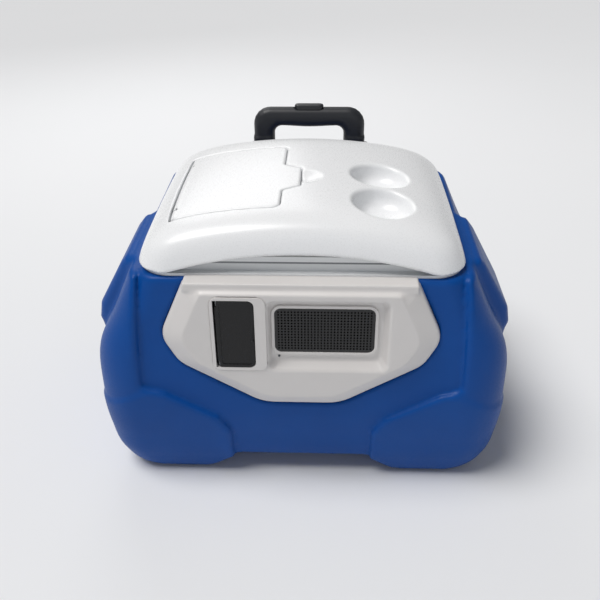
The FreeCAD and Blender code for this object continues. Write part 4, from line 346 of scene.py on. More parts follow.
def finish(name, base, shade, rough, grain_mm, bump, metal=0.0, coat=0.0, stretch=(1, 1, 1), cloud_mm=90.0,
           ior=1.5, specular=0.5):
    """A material whose colour drifts between two near shades in clouds, with grain that breaks up its gloss.

    base and shade are hex colours, rough is (lowest, highest) roughness, grain_mm the size of one grain, bump
    the height of the grain in millimetres, stretch pulls the grain out along an axis, as brushing does.
    """
    paint = bpy.data.materials.new(name)
    paint.use_nodes = True
    tree = paint.node_tree
    shader = tree.nodes["Principled BSDF"]
    place = add(tree, "ShaderNodeTexCoord")
    spread = add(tree, "ShaderNodeMapping", links=[("Vector", place, "Object")], Scale=stretch)
    cloud = add(tree, "ShaderNodeTexNoise", links=[("Vector", place, "Object")],
                Scale=1 / (cloud_mm * MM), Detail=4.0, Roughness=0.6)
    grain = add(tree, "ShaderNodeTexNoise", links=[("Vector", spread, "Vector")],
                Scale=1 / (grain_mm * MM), Detail=3.0, Roughness=0.55)
    tint = add(tree, "ShaderNodeMix", {"data_type": "RGBA"}, [("Factor", cloud, "Fac")])
    tint.inputs["A"].default_value = linear(base)
    tint.inputs["B"].default_value = linear(shade)
    gloss = add(tree, "ShaderNodeMapRange", links=[("Value", grain, "Fac")])
    gloss.inputs["From Min"].default_value = GRAIN_LOW
    gloss.inputs["From Max"].default_value = GRAIN_HIGH
    gloss.inputs["To Min"].default_value = rough[0]
    gloss.inputs["To Max"].default_value = rough[1]
    relief = add(tree, "ShaderNodeBump", links=[("Height", grain, "Fac")], Strength=1.0, Distance=bump * MM)
    tree.links.new(tint.outputs["Result"], shader.inputs["Base Color"])
    tree.links.new(gloss.outputs["Result"], shader.inputs["Roughness"])
    tree.links.new(relief.outputs["Normal"], shader.inputs["Normal"])
    shader.inputs["Metallic"].default_value = metal
    shader.inputs["Coat Weight"].default_value = coat
    shader.inputs["Coat Roughness"].default_value = COAT_ROUGHNESS
    if metal == 0.0:
        shader.inputs["IOR"].default_value = ior
        shader.inputs["Specular IOR Level"].default_value = specular
    return paint


# %% [markdown]
# Real sizes set the patterns. The ripple on rotomoulded polyethylene is 2 to 4 mm across and a few hundredths
# of a millimetre high. Spark-eroded texture is about 0.6 mm, drawn at 0.9 mm so that it shows. Brushing on the
# tubes runs along them, so its grain is stretched along Z.

# %% Finishes
POLYETHYLENE_BLUE = finish("rotomoulded polyethylene, blue", "#004C9C", "#00428C", (0.36, 0.50), 2.6, 0.05,
                           cloud_mm=70.0, ior=1.51, specular=0.2)
ABS_WHITE = finish("injection-moulded ABS, white", "#F3F4F5", "#ECEEF0", (0.24, 0.34), 1.6, 0.012, coat=0.15,
                   cloud_mm=110.0, ior=1.54)
# The panel's white is greyer than the lid's white ABS. Part of that is its own warm tint, and part is painted
# shade for its forward face, which the light from above leaves dim.
PANEL_WHITE_WITH_PAINTED_SHADE = finish("injection-moulded ABS, warm white with painted shade", "#DEDBD9", "#D6D3D1", (0.30, 0.42), 1.6, 0.012,
                     cloud_mm=80.0, ior=1.54)
LINER_WHITE = finish("polypropylene liner, white", "#EEF0F1", "#E3E6E8", (0.34, 0.46), 2.0, 0.02, ior=1.49)
ABS_BLACK = finish("injection-moulded ABS, black", "#101012", "#151517", (0.24, 0.36), 1.1, 0.012,
                   ior=1.54, specular=0.3)
NYLON_BLACK = finish("glass-filled nylon, black", "#18181A", "#212124", (0.42, 0.60), 0.9, 0.03, ior=1.53)
GRIP_CHARCOAL = finish("spark-eroded nylon, charcoal", "#1F2126", "#26282E", (0.40, 0.56), 0.9, 0.035, ior=1.53)
BUTTON_CHARCOAL = finish("satin ABS, charcoal", "#1D1F24", "#24262B", (0.28, 0.38), 1.2, 0.012, ior=1.54)
RUBBER_BLACK = finish("vulcanised rubber, black", "#141414", "#1C1B1A", (0.62, 0.80), 1.4, 0.04, ior=1.52)
RUBBER_GREY = finish("silicone seal, grey", "#8C8F92", "#7D8083", (0.50, 0.64), 1.3, 0.02, ior=1.41)
FOAM_WHITE = finish("expanded polystyrene foam, white", "#ECECE9", "#E0E0DC", (0.80, 0.92), 0.9, 0.12,
                    cloud_mm=30.0)
ANODISED = finish("anodised aluminium, dark", "#3A3D42", "#43464C", (0.30, 0.46), 0.6, 0.01, metal=1.0,
                  stretch=(1, 1, 0.04))
STEEL = finish("turned steel, zinc plated", "#9FA2A6", "#B0B3B6", (0.22, 0.38), 0.5, 0.008, metal=1.0,
               stretch=(1, 0.2, 1))
PAINTED_STEEL = finish("painted steel, black", "#131315", "#1A1A1C", (0.30, 0.44), 0.8, 0.015)
FERRITE = finish("sintered ferrite, grey", "#3B3A3C", "#454447", (0.52, 0.70), 0.7, 0.05)
CONE_PAPER = finish("pressed fibre, black", "#1B1A1C", "#242225", (0.60, 0.78), 0.8, 0.06)
BOARD_GREEN = finish("lacquered circuit board, green", "#124A2A", "#0E3D23", (0.28, 0.42), 1.0, 0.02)
WRAP_BLUE = finish("shrink wrap, blue", "#23427A", "#1C3766", (0.22, 0.34), 1.2, 0.03)
LENS_SMOKE = finish("polycarbonate lens, smoke", "#2A3138", "#343C45", (0.08, 0.16), 1.0, 0.005, coat=0.5,
                    ior=1.58)
FLOOR_PALE = finish("matt paper, white", "#E9EAEC", "#E6E8EA", (0.75, 0.85), 3.0, 0.01, cloud_mm=700.0)
floor.data.materials.append(FLOOR_PALE)
print("finishes:", len(bpy.data.materials))

# %% [markdown]
# ## The blue body
# The body is a hollow rotomoulded tub filled with foam. From the front it bulges like a barrel: narrow at the
# deck, widest below the middle, and tucked in at the ground. Its plan is a rounded rectangle at every height,
# so we give half width, front, back and corner radius at eight heights and run smooth curves through them.

# %% Body sections
DECK_Z, FOOT_Z = 326.0, 2.0
SECTION_Z = [2.0, 15.0, 37.6, 79.8, 151.0, 215.8, 267.7, 326.0]
SECTION_HALF = [236.0, 253.0, 266.5, 275.5, 279.0, 273.0, 247.0, 220.0]
SECTION_FRONT = [-200.0, -209.0, -218.0, -227.0, -236.0, -236.0, -232.0, -226.0]
SECTION_BACK = [166.6, 170.2, 173.8, 177.4, 181.0, 181.0, 179.4, 177.0]
SECTION_RADIUS = [40.0, 42.0, 45.0, 50.0, 54.0, 54.0, 48.0, 42.0]


def barrel(x, y, z):
    """Distance to the plain body: a rounded rectangle whose size follows the section curves, over its lean."""
    half, front = curve(z, SECTION_Z, SECTION_HALF), curve(z, SECTION_Z, SECTION_FRONT)
    rear, radius = curve(z, SECTION_Z, SECTION_BACK), curve(z, SECTION_Z, SECTION_RADIUS)
    lean = (curve(z + 1, SECTION_Z, SECTION_HALF) - curve(z - 1, SECTION_Z, SECTION_HALF)) / 2
    return rounded_rect(x, y - (front + rear) / 2, half, (rear - front) / 2, radius) / np.sqrt(1 + lean * lean)


def capped(d, z, k):
    """A wall cut level at the deck and at the foot, its edges rounded over k."""
    return meet(meet(d, z - DECK_Z, k), FOOT_Z - z, k)


# %% [markdown]
# The middle of the front is sunk 9 mm, which leaves a raised post at each corner. Below, each corner wears a
# raised shoe that runs round the side and down to a foot. Both outlines are polygons seen from the front, and
# they are the same on both sides, so they are tested against the distance from the middle.

# %% Posts, shoes, ears and spine
SUNK = (4.0, 9.0)                   # depth of the sunk middle between the shoes and between the posts
SUNK_FADE_Z = (120.0, 210.0)        # the depth changes over these heights
SUNK_BACK_Y = -110.0
SUNK_OUTLINE = [(-60, 400), (204, 400), (212, 214), (212, 172), (190, 161), (115, 118), (97, 92), (97, -30),
                (-60, -30)]
SHOE_PROUD = 2.4
SHOE_OUTLINE = [(320, 124), (261, 138), (207, 165), (186, 161), (113, 117), (97, 91), (97, -30), (320, -30)]
SHOE_END_Y = -95.0
EAR_OUTLINE = [(190, 324), (233, 324), (243, 312), (282, 243), (286.5, 219), (280, 203), (266, 198), (190, 198)]
EAR_Y = (-168.0, -8.0)
EAR_SLANT, EAR_ROOT = 0.30, 206.0   # outwards of the root, the ear's ends draw in by this per millimetre
ARCH_OUTLINE = [(-60, -30), (-60, 34), (88, 34), (103, 29), (113, 21), (127, 9), (139, 1), (144, -30)]
REAR_OUTLINE = [(-84, -30), (-80, 2), (-60, 34), (600, 34), (600, -30)]
POCKET_OUTLINE = [(320, 168), (268, 168), (258, 178), (258, 216), (268, 216), (273, 198), (320, 198)]
POCKET_Y = (-122.0, -32.0)
SPINE = dict(half=112.0, back=218.0, low=62.0, half_depth=60.0, corner=13.0, slope=0.39, slope_y=161.0)


def body_outside(x, y, z):
    """The body before its cuts: barrel less the sunk middle, joined with the shoes, ears and spine.

    The sunk middle is the outline's inside, no deeper than the depth at that height.
    """
    ax = np.abs(x)
    plain = barrel(x, y, z)
    sunk = np.maximum(polygon(ax, z, SUNK_OUTLINE), y - SUNK_BACK_Y)
    depth = np.interp(z, SUNK_FADE_Z, SUNK)
    d = cut(plain, np.maximum(sunk, -(plain + depth)), 11.0)
    shoe = meet(meet(plain - SHOE_PROUD, polygon(ax, z, SHOE_OUTLINE), 6.0), y - SHOE_END_Y, 3.0)
    d = capped(join(d, shoe, 2.0), z, 6.0)
    ends = EAR_SLANT * np.maximum(ax - EAR_ROOT, 0)
    ear = meet(polygon(ax, z, EAR_OUTLINE), np.maximum(EAR_Y[0] + ends - y, y - EAR_Y[1] + ends), 12.0)
    d = join(d, ear, 9.0)
    spine = rounded_rect(x, y - SPINE["back"] + SPINE["half_depth"], SPINE["half"], SPINE["half_depth"],
                         SPINE["corner"])
    under = SPINE["low"] + (y - SPINE["slope_y"]) * SPINE["slope"]
    spine = meet(spine, np.maximum(z - DECK_Z + 0.5, under - z), 4.0)
    return join(d, spine, 7.0)


# %% [markdown]
# What is taken away: the arch between the feet and the low belly behind them, the seat for the front panel,
# the bay behind it, wheel wells, finger pockets under the ears, grooves for the handle's tubes, the drain's
# recess and the space for the liner. Each cut leaves a small rounded edge, as a mould would.

# %% The body's cuts
PANEL_TOP = 324.0
PANEL_RIM = [(148.0, 0.0, 4.0), (182.0, 76.0, 34.0), (160.0, 118.0, 40.0), (52.0, 182.0, 60.0)]
RIM_OUTLINE = soft_corners(mirrored_outline([(x, PANEL_TOP - drop, r) for x, drop, r in PANEL_RIM]))
LINER = dict(half=176.0, front=-148.0, back=116.0, floor=50.0, draft=14.0, wall=3.2, corner=40.0)
PANEL_SEAT_Y, SEAT_GAP = -214.0, 0.8
PANEL_BAY = (-120, -230, 196), (120, -166, 312)
WHEEL = dict(y=169.0, r=72.0)
WELL = dict(gap=11.0, inner=216.0, axle_hole=7.7)
TUBE_GROOVE = dict(x=76.0, half=15.2, y=205.8)
DRAIN = dict(y=10.0, z=64.0, x=262.0, recess=25.0, hole=10.1)
PAD_SEAT = (153.7, -177.4, -9), (212.4, -102.6, 4.1)


def liner_outside(x, y, z):
    """The liner's outer form: a rounded rectangle that narrows by its draft from mouth to floor."""
    draft = LINER["draft"] * (DECK_Z - z) / (DECK_Z - LINER["floor"]) - LINER["wall"]
    middle, half = (LINER["front"] + LINER["back"]) / 2, (LINER["back"] - LINER["front"]) / 2
    wall = rounded_rect(x, y - middle, LINER["half"] - draft, half - draft, LINER["corner"] + LINER["wall"])
    return np.maximum(wall, LINER["floor"] - LINER["wall"] - z)


def block(x, y, z, low, high):
    """Distance to a box between two corners, by its farthest face."""
    return np.maximum(np.maximum(np.maximum(low[0] - x, x - high[0]), np.maximum(low[1] - y, y - high[1])),
                      np.maximum(low[2] - z, z - high[2]))


def body(x, y, z):
    """The outside form less each cut in turn; cuts that are the same on both sides use |x|."""
    ax = np.abs(x)
    d = body_outside(x, y, z)
    d = cut(d, polygon(ax, z, ARCH_OUTLINE), 5.0)
    d = cut(d, polygon(y, z, REAR_OUTLINE), 5.0)
    d = cut(d, meet(polygon(x, z, RIM_OUTLINE) - SEAT_GAP, y - PANEL_SEAT_Y, 0.5), 1.2)
    d = cut(d, block(x, y, z, *PANEL_BAY), 1.0)
    round_wheel = np.hypot(y - WHEEL["y"], z - WHEEL["r"])
    d = cut(d, meet(round_wheel - WHEEL["r"] - WELL["gap"], WELL["inner"] - ax, 6.0), 5.0)
    pocket = meet(polygon(ax, z, POCKET_OUTLINE), np.maximum(POCKET_Y[0] - y, y - POCKET_Y[1]), 8.0)
    d = cut(d, pocket, 4.0)
    groove = np.abs(ax - TUBE_GROOVE["x"]) - TUBE_GROOVE["half"]
    d = cut(d, np.maximum(groove, TUBE_GROOVE["y"] - y), 2.0)
    round_drain = np.hypot(y - DRAIN["y"], z - DRAIN["z"])
    d = cut(d, meet(round_drain - DRAIN["recess"], DRAIN["x"] - x, 4.0), 3.0)
    d = cut(d, np.maximum(round_drain - DRAIN["hole"], -x), 0.5)
    d = cut(d, round_wheel - WELL["axle_hole"], 0.5)
    d = cut(d, block(ax, y, z, *PAD_SEAT), 0.5)
    return cut(d, liner_outside(x, y, z) - 0.5, 1.5)


BODY_BOX, BODY_CELL = ((-292, -242, 0), (292, 220, 328)), 4.3
blue_body = surface_net("moulded_body", body, *BODY_BOX, BODY_CELL)
blue_body.data.materials.append(POLYETHYLENE_BLUE)
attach(blue_body, "cooler")
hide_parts("outer_shell", "insulation_foam")

# %% [markdown]
# ## The lid
# The lid is a shallow dome with a skirt. Its height over any point of its plan is a formula: a parabola each
# way for the dome, plus a tenth power of the distance to the skirt, which stays nothing in the middle and
# rolls the edge down at the end. Cup holders, the hatch's opening, a finger scoop and the arch in the
# front of the skirt are cut from it.

# %% Dome and skirt
LID = dict(half=212.0, front=-216.0, back=141.0, corner=46.0, low=332.0, crown=404.0, wall=4.6, roof=8.0)
LID_MID_Y = (LID["front"] + LID["back"]) / 2
LID_HALF_Y = (LID["back"] - LID["front"]) / 2


DOME = dict(reach=165.0, fall_x=18.0, fall_y=5.0, peak_y=-50.0, roll=30.0, power=10)
STEEPEST = 2.0                      # the correction for a steep dome stops here
SKIRT_LEAN, SKIRT_HEIGHT = 9.0, 70.0


def crown(x, y):
    """Height of the dome: its top, less two parabolas, less the roll at the edges.

    top - fall_x (x/reach)^2 - fall_y ((y-peak)/reach)^2 - roll (|x/half|^10 + |(y-middle)/half|^10)
    """
    dome = (DOME["fall_x"] * (x / DOME["reach"]) ** 2
            + DOME["fall_y"] * ((y - DOME["peak_y"]) / DOME["reach"]) ** 2)
    edge = np.abs(x / LID["half"]) ** DOME["power"] + np.abs((y - LID_MID_Y) / LID_HALF_Y) ** DOME["power"]
    return LID["crown"] - dome - DOME["roll"] * edge


def above_crown(x, y, z):
    """Rough distance above the dome: the height over it, divided by sqrt(1 + slope^2)."""
    rolled, power = DOME["roll"] * DOME["power"], DOME["power"] - 1
    steep = np.hypot(
        2 * DOME["fall_x"] * x / DOME["reach"] ** 2 + rolled / LID["half"] * np.abs(x / LID["half"]) ** power,
        rolled / LID_HALF_Y * np.abs((y - LID_MID_Y) / LID_HALF_Y) ** power)
    return (z - crown(x, y)) / np.sqrt(1 + np.minimum(steep, STEEPEST) ** 2)


def skirt(x, y, z):
    """Distance to the skirt: a rounded rectangle that leans in evenly from its lower edge."""
    lean = SKIRT_LEAN * (z - LID["low"]) / SKIRT_HEIGHT
    return rounded_rect(x, y - LID_MID_Y, LID["half"] - lean, LID_HALF_Y - lean, LID["corner"])


# %% The lid's openings
CUP = dict(x=104.0, ys=(-133.0, -45.0), r=39.0, depth=27.0, wall=6.0)
HATCH = [(-168, -161, 3), (-28, -161, 10), (-28, -113, 7), (-4, -99, 6), (-4, -37, 6), (-28, -23, 7),
         (-28, 53, 10), (-168, 53, 3)]
HATCH_OUTLINE = soft_corners(HATCH)
HATCH_Y = (-161.0, 53.0)
ARCH_RISE, ARCH_HALF, ARCH_BACK_Y = 25.0, 168.0, -200.0
ARCH_R = (ARCH_HALF**2 + ARCH_RISE**2) / (2 * ARCH_RISE)
SCOOP = dict(x=4.0, y=-68.0, r=34.0, depth=5.0, wall=3.0)
HATCH_AXIS = (-163.0, 376.25)
HATCH_GAP = 1.2
HINGE_GAP = 2.7                     # room for the hatch's thickness as it swings past the lid


def round_hinge(x, y, z):
    """Distance to the hatch's rounded edge: a circle about the hinge axis that just reaches the dome."""
    axis_x, axis_z = HATCH_AXIS
    return np.hypot(x - axis_x, z - axis_z) - (crown(axis_x, y) - axis_z)


def cup(x, y, cup_y):
    """Distance to a cup holder's round side, and the height of its floor below the dome."""
    return np.hypot(x - CUP["x"], y - cup_y) - CUP["r"], crown(CUP["x"], cup_y) - CUP["depth"]


def lid(x, y, z):
    """Skirt and dome, hollowed, joined with the walls of the cups and the scoop, less every opening."""
    top, wall = above_crown(x, y, z), skirt(x, y, z)
    solid = meet(wall, top, 14.0)
    d = cut(solid, meet(wall + LID["wall"], top + LID["roof"], 10.0), 1.0)
    scoop = np.sqrt((x - SCOOP["x"]) ** 2 + (y - SCOOP["y"]) ** 2
                    + (z - crown(SCOOP["x"], SCOOP["y"]) - SCOOP["r"] + SCOOP["depth"]) ** 2) - SCOOP["r"]
    d = join(d, np.maximum(scoop - SCOOP["wall"], top), 1.0)
    for cup_y in CUP["ys"]:
        ring, floor_z = cup(x, y, cup_y)
        d = join(d, np.maximum(np.maximum(ring - CUP["wall"], floor_z - CUP["wall"] - z), top), 1.0)
    for cup_y in CUP["ys"]:
        ring, floor_z = cup(x, y, cup_y)
        d = cut(d, meet(ring, floor_z - z, 26.0), 7.0)
    d = cut(d, scoop, 5.0)
    d = cut(d, polygon(x, y, HATCH_OUTLINE) - HATCH_GAP, 2.0)
    ends = np.maximum(HATCH_Y[0] - HATCH_GAP - y, y - HATCH_Y[1] - HATCH_GAP)
    d = cut(d, np.maximum(round_hinge(x, y, z) - HINGE_GAP, ends), 1.5)
    arch = np.hypot(x, z - LID["low"] - ARCH_RISE + ARCH_R) - ARCH_R
    d = cut(d, np.maximum(arch, y - ARCH_BACK_Y), 3.0)
    return meet(d, LID["low"] - z, 1.5)


LID_BOX, LID_CELL = ((-213, -217, 331), (213, 142, 405)), 2.5
lid_top = surface_net("lid_dome", lid, *LID_BOX, LID_CELL)
lid_top.data.materials.append(ABS_WHITE)
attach(lid_top, "lid")
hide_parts("lid_shell")

# %% [markdown]
# ## The hatch
# The quick-access hatch is a skin as thick as the lid is deep there, with the same dome on top, so it closes
# flush. Its left edge is a barrel about the hinge axis, with gaps where the fixed eyes stand, and a rim below
# keeps the cold in. A tab on the right reaches the finger scoop.

# %% Hatch
HATCH_SKIN, PLUG_INSET, PLUG_WALL, PLUG_LOW = 6.5, 9.5, 3.0, 358.0
BARREL_R, BARREL_Y = 5.0, (-158.0, 50.0)
EYE_YS, EYE_REACH, EYE_HALF, EYE_FOOT, EYE_ROOM = (-114.0, 6.0), 17.0, 4.0, 14.5, 0.5


def hatch(x, y, z):
    """The skin joined with the barrel, a web between them and the rim below, less room for the eyes."""
    axis_x, axis_z = HATCH_AXIS
    outline, top = polygon(x, y, HATCH_OUTLINE), above_crown(x, y, z)
    skin = np.maximum(meet(meet(outline, top, 2.4), -top - HATCH_SKIN, 1.0), axis_x - x)
    round_axis = np.hypot(x - axis_x, z - axis_z)
    ends = np.maximum(BARREL_Y[0] - y, y - BARREL_Y[1])
    d = join(skin, meet(round_hinge(x, y, z), ends, 1.5), 1.0)
    web = block(x, y, z, (axis_x, BARREL_Y[0], axis_z), (axis_x + BARREL_R, BARREL_Y[1], 400))
    d = join(d, np.maximum(web, top + HATCH_SKIN / 2), 0.5)
    rim = np.maximum(np.abs(outline + PLUG_INSET + PLUG_WALL / 2) - PLUG_WALL / 2, PLUG_LOW - z)
    d = join(d, np.maximum(np.maximum(rim, top + HATCH_SKIN / 2), axis_x + BARREL_R + 2 - x), 1.0)
    for eye_y in EYE_YS:
        room = np.abs(np.abs(y - eye_y) - EYE_REACH) - EYE_HALF
        foot = np.maximum(np.abs(x - axis_x) - BARREL_R - EYE_ROOM,
                          np.maximum(z - axis_z, axis_z - EYE_FOOT - z))
        d = cut(d, np.maximum(np.minimum(round_axis - BARREL_R - EYE_ROOM, foot), room), 0.3)
    return d


HATCH_BOX, HATCH_CELL = ((-169, -162, 357), (-3, 54, 405)), 1.9
hatch_lid = surface_net("hatch_cover", hatch, *HATCH_BOX, HATCH_CELL)
hatch_lid.data.materials.append(ABS_WHITE)
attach(hatch_lid, "hatch")
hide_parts("hatch_door")

# %% [markdown]
# ## The front panel
# The panel is a six-sided shield with a wide bevel. Its depth is worked out from two outlines: the share of
# the way from the outer one to the inner one gives the share of the full depth. The loudspeaker sits in a
# tray whose four walls lean in, and the charging door has its own shallow seat.

# %% Front panel
EDGE_Y, FACE_Y, PANEL_WALL = -229.0, -240.0, 3.0
HIDDEN_WALL, HIDDEN_BACKING = 4.0, 3.0     # thicker out of sight, so that the net has cells across them
PANEL_FACE = [(124.0, 8.0, 4.0), (154.0, 76.0, 30.0), (134.0, 110.0, 34.0), (44.0, 163.0, 46.0)]
FACE_OUTLINE = soft_corners(mirrored_outline([(x, PANEL_TOP - drop, r) for x, drop, r in PANEL_FACE]))
TRAY = dict(left=-42.0, right=113.0, low=203.0, high=308.0, floor=-227.0, lean=(4.0, 9.0, 10.0, 6.0), r=9.0)
WINDOW = dict(x=31.0, z=259.0, half_x=64.0, half_z=33.0, r=9.0)
BEZEL = dict(x=-78.0, z=258.5, half_x=35.0, half_z=54.5, r=13.0, back=-236.0)
DOOR = dict(x=-83.0, z=258.5, half_x=27.8, half_z=52.3, r=10.0)
LAMP_HOLE = dict(x=-28.0, z=218.0, r=1.7, back=-222.0)
TOP_LIP = (-146, -234, 317), (146, -209.5, 328.5)
ROUNDED_SHARE = 0.15                # how much of the bevel's rise is an S curve
BEVEL_COSINE = 0.93                 # turns depth over the bevel into distance


def in_frame(x, z, place, grow=0.0):
    """Distance to a rounded rectangle seen from the front, grown by grow."""
    return rounded_rect(x - place["x"], z - place["z"], place["half_x"] + grow, place["half_z"] + grow,
                        place["r"] + grow)


def speaker_tray(x, y, z):
    """The leaning tray: a rounded rectangle whose sides move in with depth."""
    t = np.clip((y - FACE_Y) / (TRAY["floor"] - FACE_Y), -0.5, 1)
    left, right = TRAY["left"] + TRAY["lean"][0] * t, TRAY["right"] - TRAY["lean"][1] * t
    low, high = TRAY["low"] + TRAY["lean"][2] * t, TRAY["high"] - TRAY["lean"][3] * t
    return rounded_rect(x - (left + right) / 2, z - (low + high) / 2, (right - left) / 2, (high - low) / 2,
                        TRAY["r"])


def front_panel(x, y, z):
    """A bevelled shield with a hollow back.

    With outer and inner the distances to the two outlines, the share of the full depth is
    outer / (outer - inner), held between 0 and 1 and eased by a little of 3 s^2 - 2 s^3.
    """
    outer, inner = polygon(x, z, RIM_OUTLINE), polygon(x, z, FACE_OUTLINE)
    share = np.clip(-outer / np.maximum(inner - outer, 1e-3), 0, 1)
    share = share * share * (3 - 2 * share) * ROUNDED_SHARE + share * (1 - ROUNDED_SHARE)
    face = (EDGE_Y + (FACE_Y - EDGE_Y) * share - y) * BEVEL_COSINE
    solid = meet(meet(outer, face, 4.0), y - PANEL_SEAT_Y, 0.5)
    lip = block(x, y, z, *TOP_LIP)
    tray = speaker_tray(x, y, z)
    hollow = PANEL_WALL + HIDDEN_WALL
    d = cut(solid, meet(outer + hollow, face + hollow, 3.0), 0.5)
    backing = np.maximum(tray - PANEL_WALL - HIDDEN_BACKING, y - TRAY["floor"] - PANEL_WALL - 2.0)
    d = join(np.minimum(d, np.maximum(backing, solid)), lip, 3.0)
    d = cut(d, meet(tray, y - TRAY["floor"], 3.0), 2.5)
    d = cut(d, in_frame(x, z, WINDOW), 0.8)
    d = cut(d, np.maximum(in_frame(x, z, BEZEL, 0.3), y - BEZEL["back"]), 0.6)
    d = cut(d, in_frame(x, z, DOOR), 0.5)
    lamp_hole = np.hypot(x - LAMP_HOLE["x"], z - LAMP_HOLE["z"]) - LAMP_HOLE["r"]
    return cut(d, np.maximum(lamp_hole, y - LAMP_HOLE["back"]), 0.3)


PANEL_BOX, PANEL_CELL = ((-183, -241, 140), (183, -208, 330)), 2.2
panel = surface_net("speaker_panel", front_panel, *PANEL_BOX, PANEL_CELL)
# The panel's colour carries painted shade for its forward face, besides its warm tint.
panel.data.materials.append(PANEL_WHITE_WITH_PAINTED_SHADE)
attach(panel, "cooler")
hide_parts("front_panel")

# %% [markdown]
# ## The grip
# The pull handle ends in a soft arch of nylon. Its outline is a rounded frame seen from the front, and a wide
# soft meeting with its front and back faces gives the full, hand-friendly section. The underside of the bar
# swells a little in the middle for the palm.

# %% Grip
GRIP = dict(low=354.0, y=217.0, depth=14.0)
SWELL, SWELL_REACH = 2.2, 34.0
CUFF = dict(x=77.5, half=16.0, depth=14.4, high=364.0)
BUTTON = dict(half_x=24.6, half_y=8.1, r=7.9, low=405.5)
ARCH_OUTER = soft_corners([(-93, 354, 4), (-93, 412, 28), (93, 412, 28), (93, 354, 4)])
ARCH_INNER = soft_corners([(-58, 300, 4), (-58, 382, 13), (58, 382, 13), (58, 300, 4)])


def pull_grip(x, y, z):
    """The frame between two outlines, softly met with its faces, with cuffs and the button's pocket.

    The hole is lowered by swell * exp(-(x/reach)^2), so the bar is thickest at the palm.
    """
    swell = SWELL * np.exp(-(x / SWELL_REACH) ** 2)
    hole = polygon(x, z + swell, ARCH_INNER)
    frame_form = cut(polygon(x, z, ARCH_OUTER), hole, 3.0)
    d = meet(frame_form, np.abs(y - GRIP["y"]) - GRIP["depth"], 15.0)
    cuff = meet(np.abs(np.abs(x) - CUFF["x"]) - CUFF["half"], np.abs(y - GRIP["y"]) - CUFF["depth"], 9.0)
    d = join(d, meet(cuff, np.maximum(GRIP["low"] - z, z - CUFF["high"]), 3.0), 3.0)
    button = rounded_rect(x, y - GRIP["y"], BUTTON["half_x"], BUTTON["half_y"], BUTTON["r"])
    return cut(meet(d, GRIP["low"] - z, 2.0), np.maximum(button, BUTTON["low"] - z), 1.5)


GRIP_BOX, GRIP_CELL = ((-94.5, 202, 353), (94.5, 232, 413)), 1.7
grip = surface_net("handle_grip", pull_grip, *GRIP_BOX, GRIP_CELL)
grip.data.materials.append(GRIP_CHARCOAL)
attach(grip, "pull_grip")
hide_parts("grip")

# %% [markdown]
# ## The tyres
# Each tyre is a profile carried round the axle. Two sets of slanting grooves, mirrored at the middle, are
# pressed into the tread: the radius drops where a wave along the slanted direction is low. A narrow groove
# runs round the centre, and the shoulders and side walls stay smooth.

# %% Tyres
TYRE = dict(inner=225.0, width=42.0, blocks=40, groove=2.2, slant=0.16)
PROFILE = [(3, 57), (0, 61), (0, 67), (1.2, 69.6), (4, 71.2), (10, 72), (32, 72), (38, 71.2), (40.8, 69.6),
           (42, 67), (42, 61), (39, 57)]
TREAD_CORNERS = (5, 6)              # the tread runs between these points of the profile
WALL_POINTS, TREAD_POINTS, TURN_POINTS = 22, 45, 720
CREST = (0.55, 0.80)                # a slanting groove deepens as the wave rises between these
SLANT_FROM, SLANT_TO = (2.2, 3.0), (18.0, 16.0)
CENTRE_GROOVE = (1.6, 0.8)


def ramp(value, edges):
    """0 at the first edge, 1 at the second, straight in between."""
    return np.clip((value - edges[0]) / (edges[1] - edges[0]), 0, 1)


def tyre(name, side):
    """Points at (s, angle): s goes once round the profile, and the radius falls in the grooves.

    A slanting groove lies where sin(blocks * angle + slant * distance from the middle) is high.
    """
    loop = np.array(PROFILE, float)
    along = np.concatenate([[0], np.cumsum(np.hypot(*np.diff(loop, axis=0).T))])
    tread = [along[k] for k in TREAD_CORNERS]
    s = np.concatenate([np.linspace(0, tread[0], WALL_POINTS)[:-1],
                        np.linspace(*tread, TREAD_POINTS)[:-1],
                        np.linspace(tread[1], along[-1], WALL_POINTS)])
    across, radius = np.interp(s, along, loop[:, 0]), np.interp(s, along, loop[:, 1])
    angle = np.linspace(0, 2 * np.pi, TURN_POINTS, endpoint=False)
    from_middle = np.abs(across - TYRE["width"] / 2)[:, None]
    wave = np.sin(TYRE["blocks"] * angle[None, :] + from_middle * TYRE["slant"])
    slant = ramp(wave, CREST) * ramp(from_middle, SLANT_FROM) * ramp(from_middle, SLANT_TO)
    centre = ramp(from_middle, CENTRE_GROOVE)
    r = radius[:, None] - TYRE["groove"] * np.maximum(slant, centre)
    x = side * (TYRE["inner"] + across[:, None]) + 0 * r
    points = np.stack([x, WHEEL["y"] + r * np.sin(angle), WHEEL["r"] + r * np.cos(angle)], axis=-1)
    rows, turns = r.shape
    i, j = np.meshgrid(np.arange(rows), np.arange(turns), indexing="ij")
    number = i * turns + j
    ahead = i * turns + (j + 1) % turns
    above, above_ahead = np.roll(number, -1, axis=0), np.roll(ahead, -1, axis=0)
    quads = np.stack([number, ahead, above_ahead, above], axis=-1).reshape(-1, 4)
    piece = make_mesh(name, points.reshape(-1, 3), quads if side < 0 else quads[:, ::-1])
    piece.data.materials.append(RUBBER_BLACK)
    print(name, len(quads), "quads")
    return piece


for name, side, node, rider in (("tread_right", 1, "tyre_right", "right_wheel"),
                                ("tread_left", -1, "tyre_left", "left_wheel")):
    made = tyre(name, side)
    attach(made, rider)
    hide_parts(node)

# %% [markdown]
# ## Finishes for the parts the CAD already has right
# Tubes, screws, hinges, wheels and the parts inside keep their CAD shapes. Each gets the finish of what it is
# made of, and the ones in view get a narrow bevel, since a moulded edge always catches a line of light.

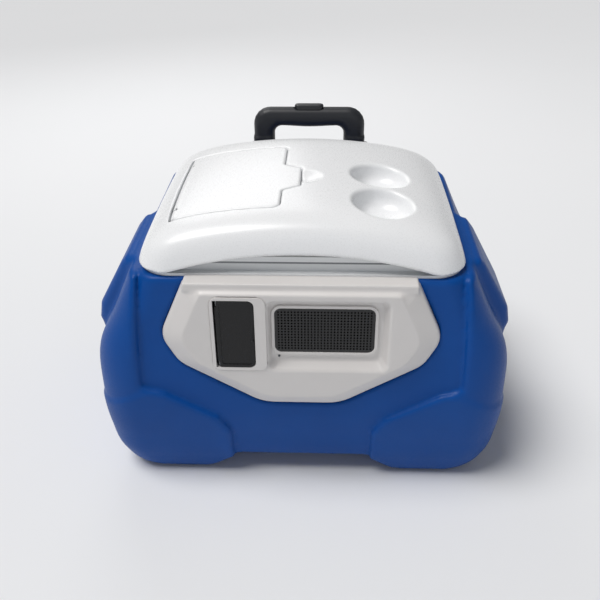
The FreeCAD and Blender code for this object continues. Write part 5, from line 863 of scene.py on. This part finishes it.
# %% Finishes by part
FINISH_OF = [
    (LINER_WHITE, "inner_liner lid_tray hatch_frame drain_fitting drain_nut"),
    # The frame and the bezel take the panel's white, which carries painted shade.
    (PANEL_WHITE_WITH_PAINTED_SHADE, "speaker_frame door_bezel"),
    (ABS_WHITE, "drain_cap"),
    (ABS_BLACK, "charger_door power_button"),
    (NYLON_BLACK, "panel_clips hinge_body_leaves hinge_lid_leaves handle_bracket lower_bracket guide_rings "
                  "push_yoke axle_sleeve axle_caps bush_right bush_left charger_tray speaker_box"),
    (GRIP_CHARCOAL, "wheel_right wheel_left"),
    (BUTTON_CHARCOAL, "release_button"),
    (RUBBER_BLACK, "foot_pads driver_surrounds drain_gasket"),
    (RUBBER_GREY, "lid_gasket hatch_seal"),
    (FOAM_WHITE, "lid_foam"),
    (ANODISED, "outer_tubes middle_tubes inner_tubes"),
    (STEEL, "usb_sockets door_pin hatch_pins hinge_pins hinge_screws handle_screws button_spring "
            "lock_pin_right lock_pin_left wheel_axle"),
    (PAINTED_STEEL, "driver_baskets speaker_grille"),
    (FERRITE, "driver_magnets"),
    (CONE_PAPER, "driver_cones"),
    (BOARD_GREEN, "amplifier_board"),
    (WRAP_BLUE, "battery_pack"),
    (LENS_SMOKE, "status_led"),
]
BEVELLED = {
    "door_bezel": 0.8, "charger_door": 0.6, "speaker_frame": 0.6, "handle_bracket": 1.2, "lower_bracket": 1.0,
    "wheel_right": 0.8, "wheel_left": 0.8, "drain_cap": 0.6, "axle_caps": 0.6, "hinge_body_leaves": 0.5,
    "hinge_lid_leaves": 0.5, "foot_pads": 0.6, "inner_liner": 1.0, "guide_rings": 0.5}
WELD_REACH = 0.02
BEVEL_FROM = math.radians(40)
finished = 0
for material, names in FINISH_OF:
    for name in names.split():
        mesh = NODES[name].data
        mesh.materials.clear()
        mesh.materials.append(material)
        finished += 1
for name, width in BEVELLED.items():
    weld = NODES[name].modifiers.new("weld", "WELD")
    weld.merge_threshold = WELD_REACH * MM
    bevel = NODES[name].modifiers.new("edges", "BEVEL")
    bevel.width = width * MM
    bevel.segments = 2
    bevel.limit_method = "ANGLE"
    bevel.angle_limit = BEVEL_FROM
    bevel.harden_normals = True
print("parts with a finish:", finished)
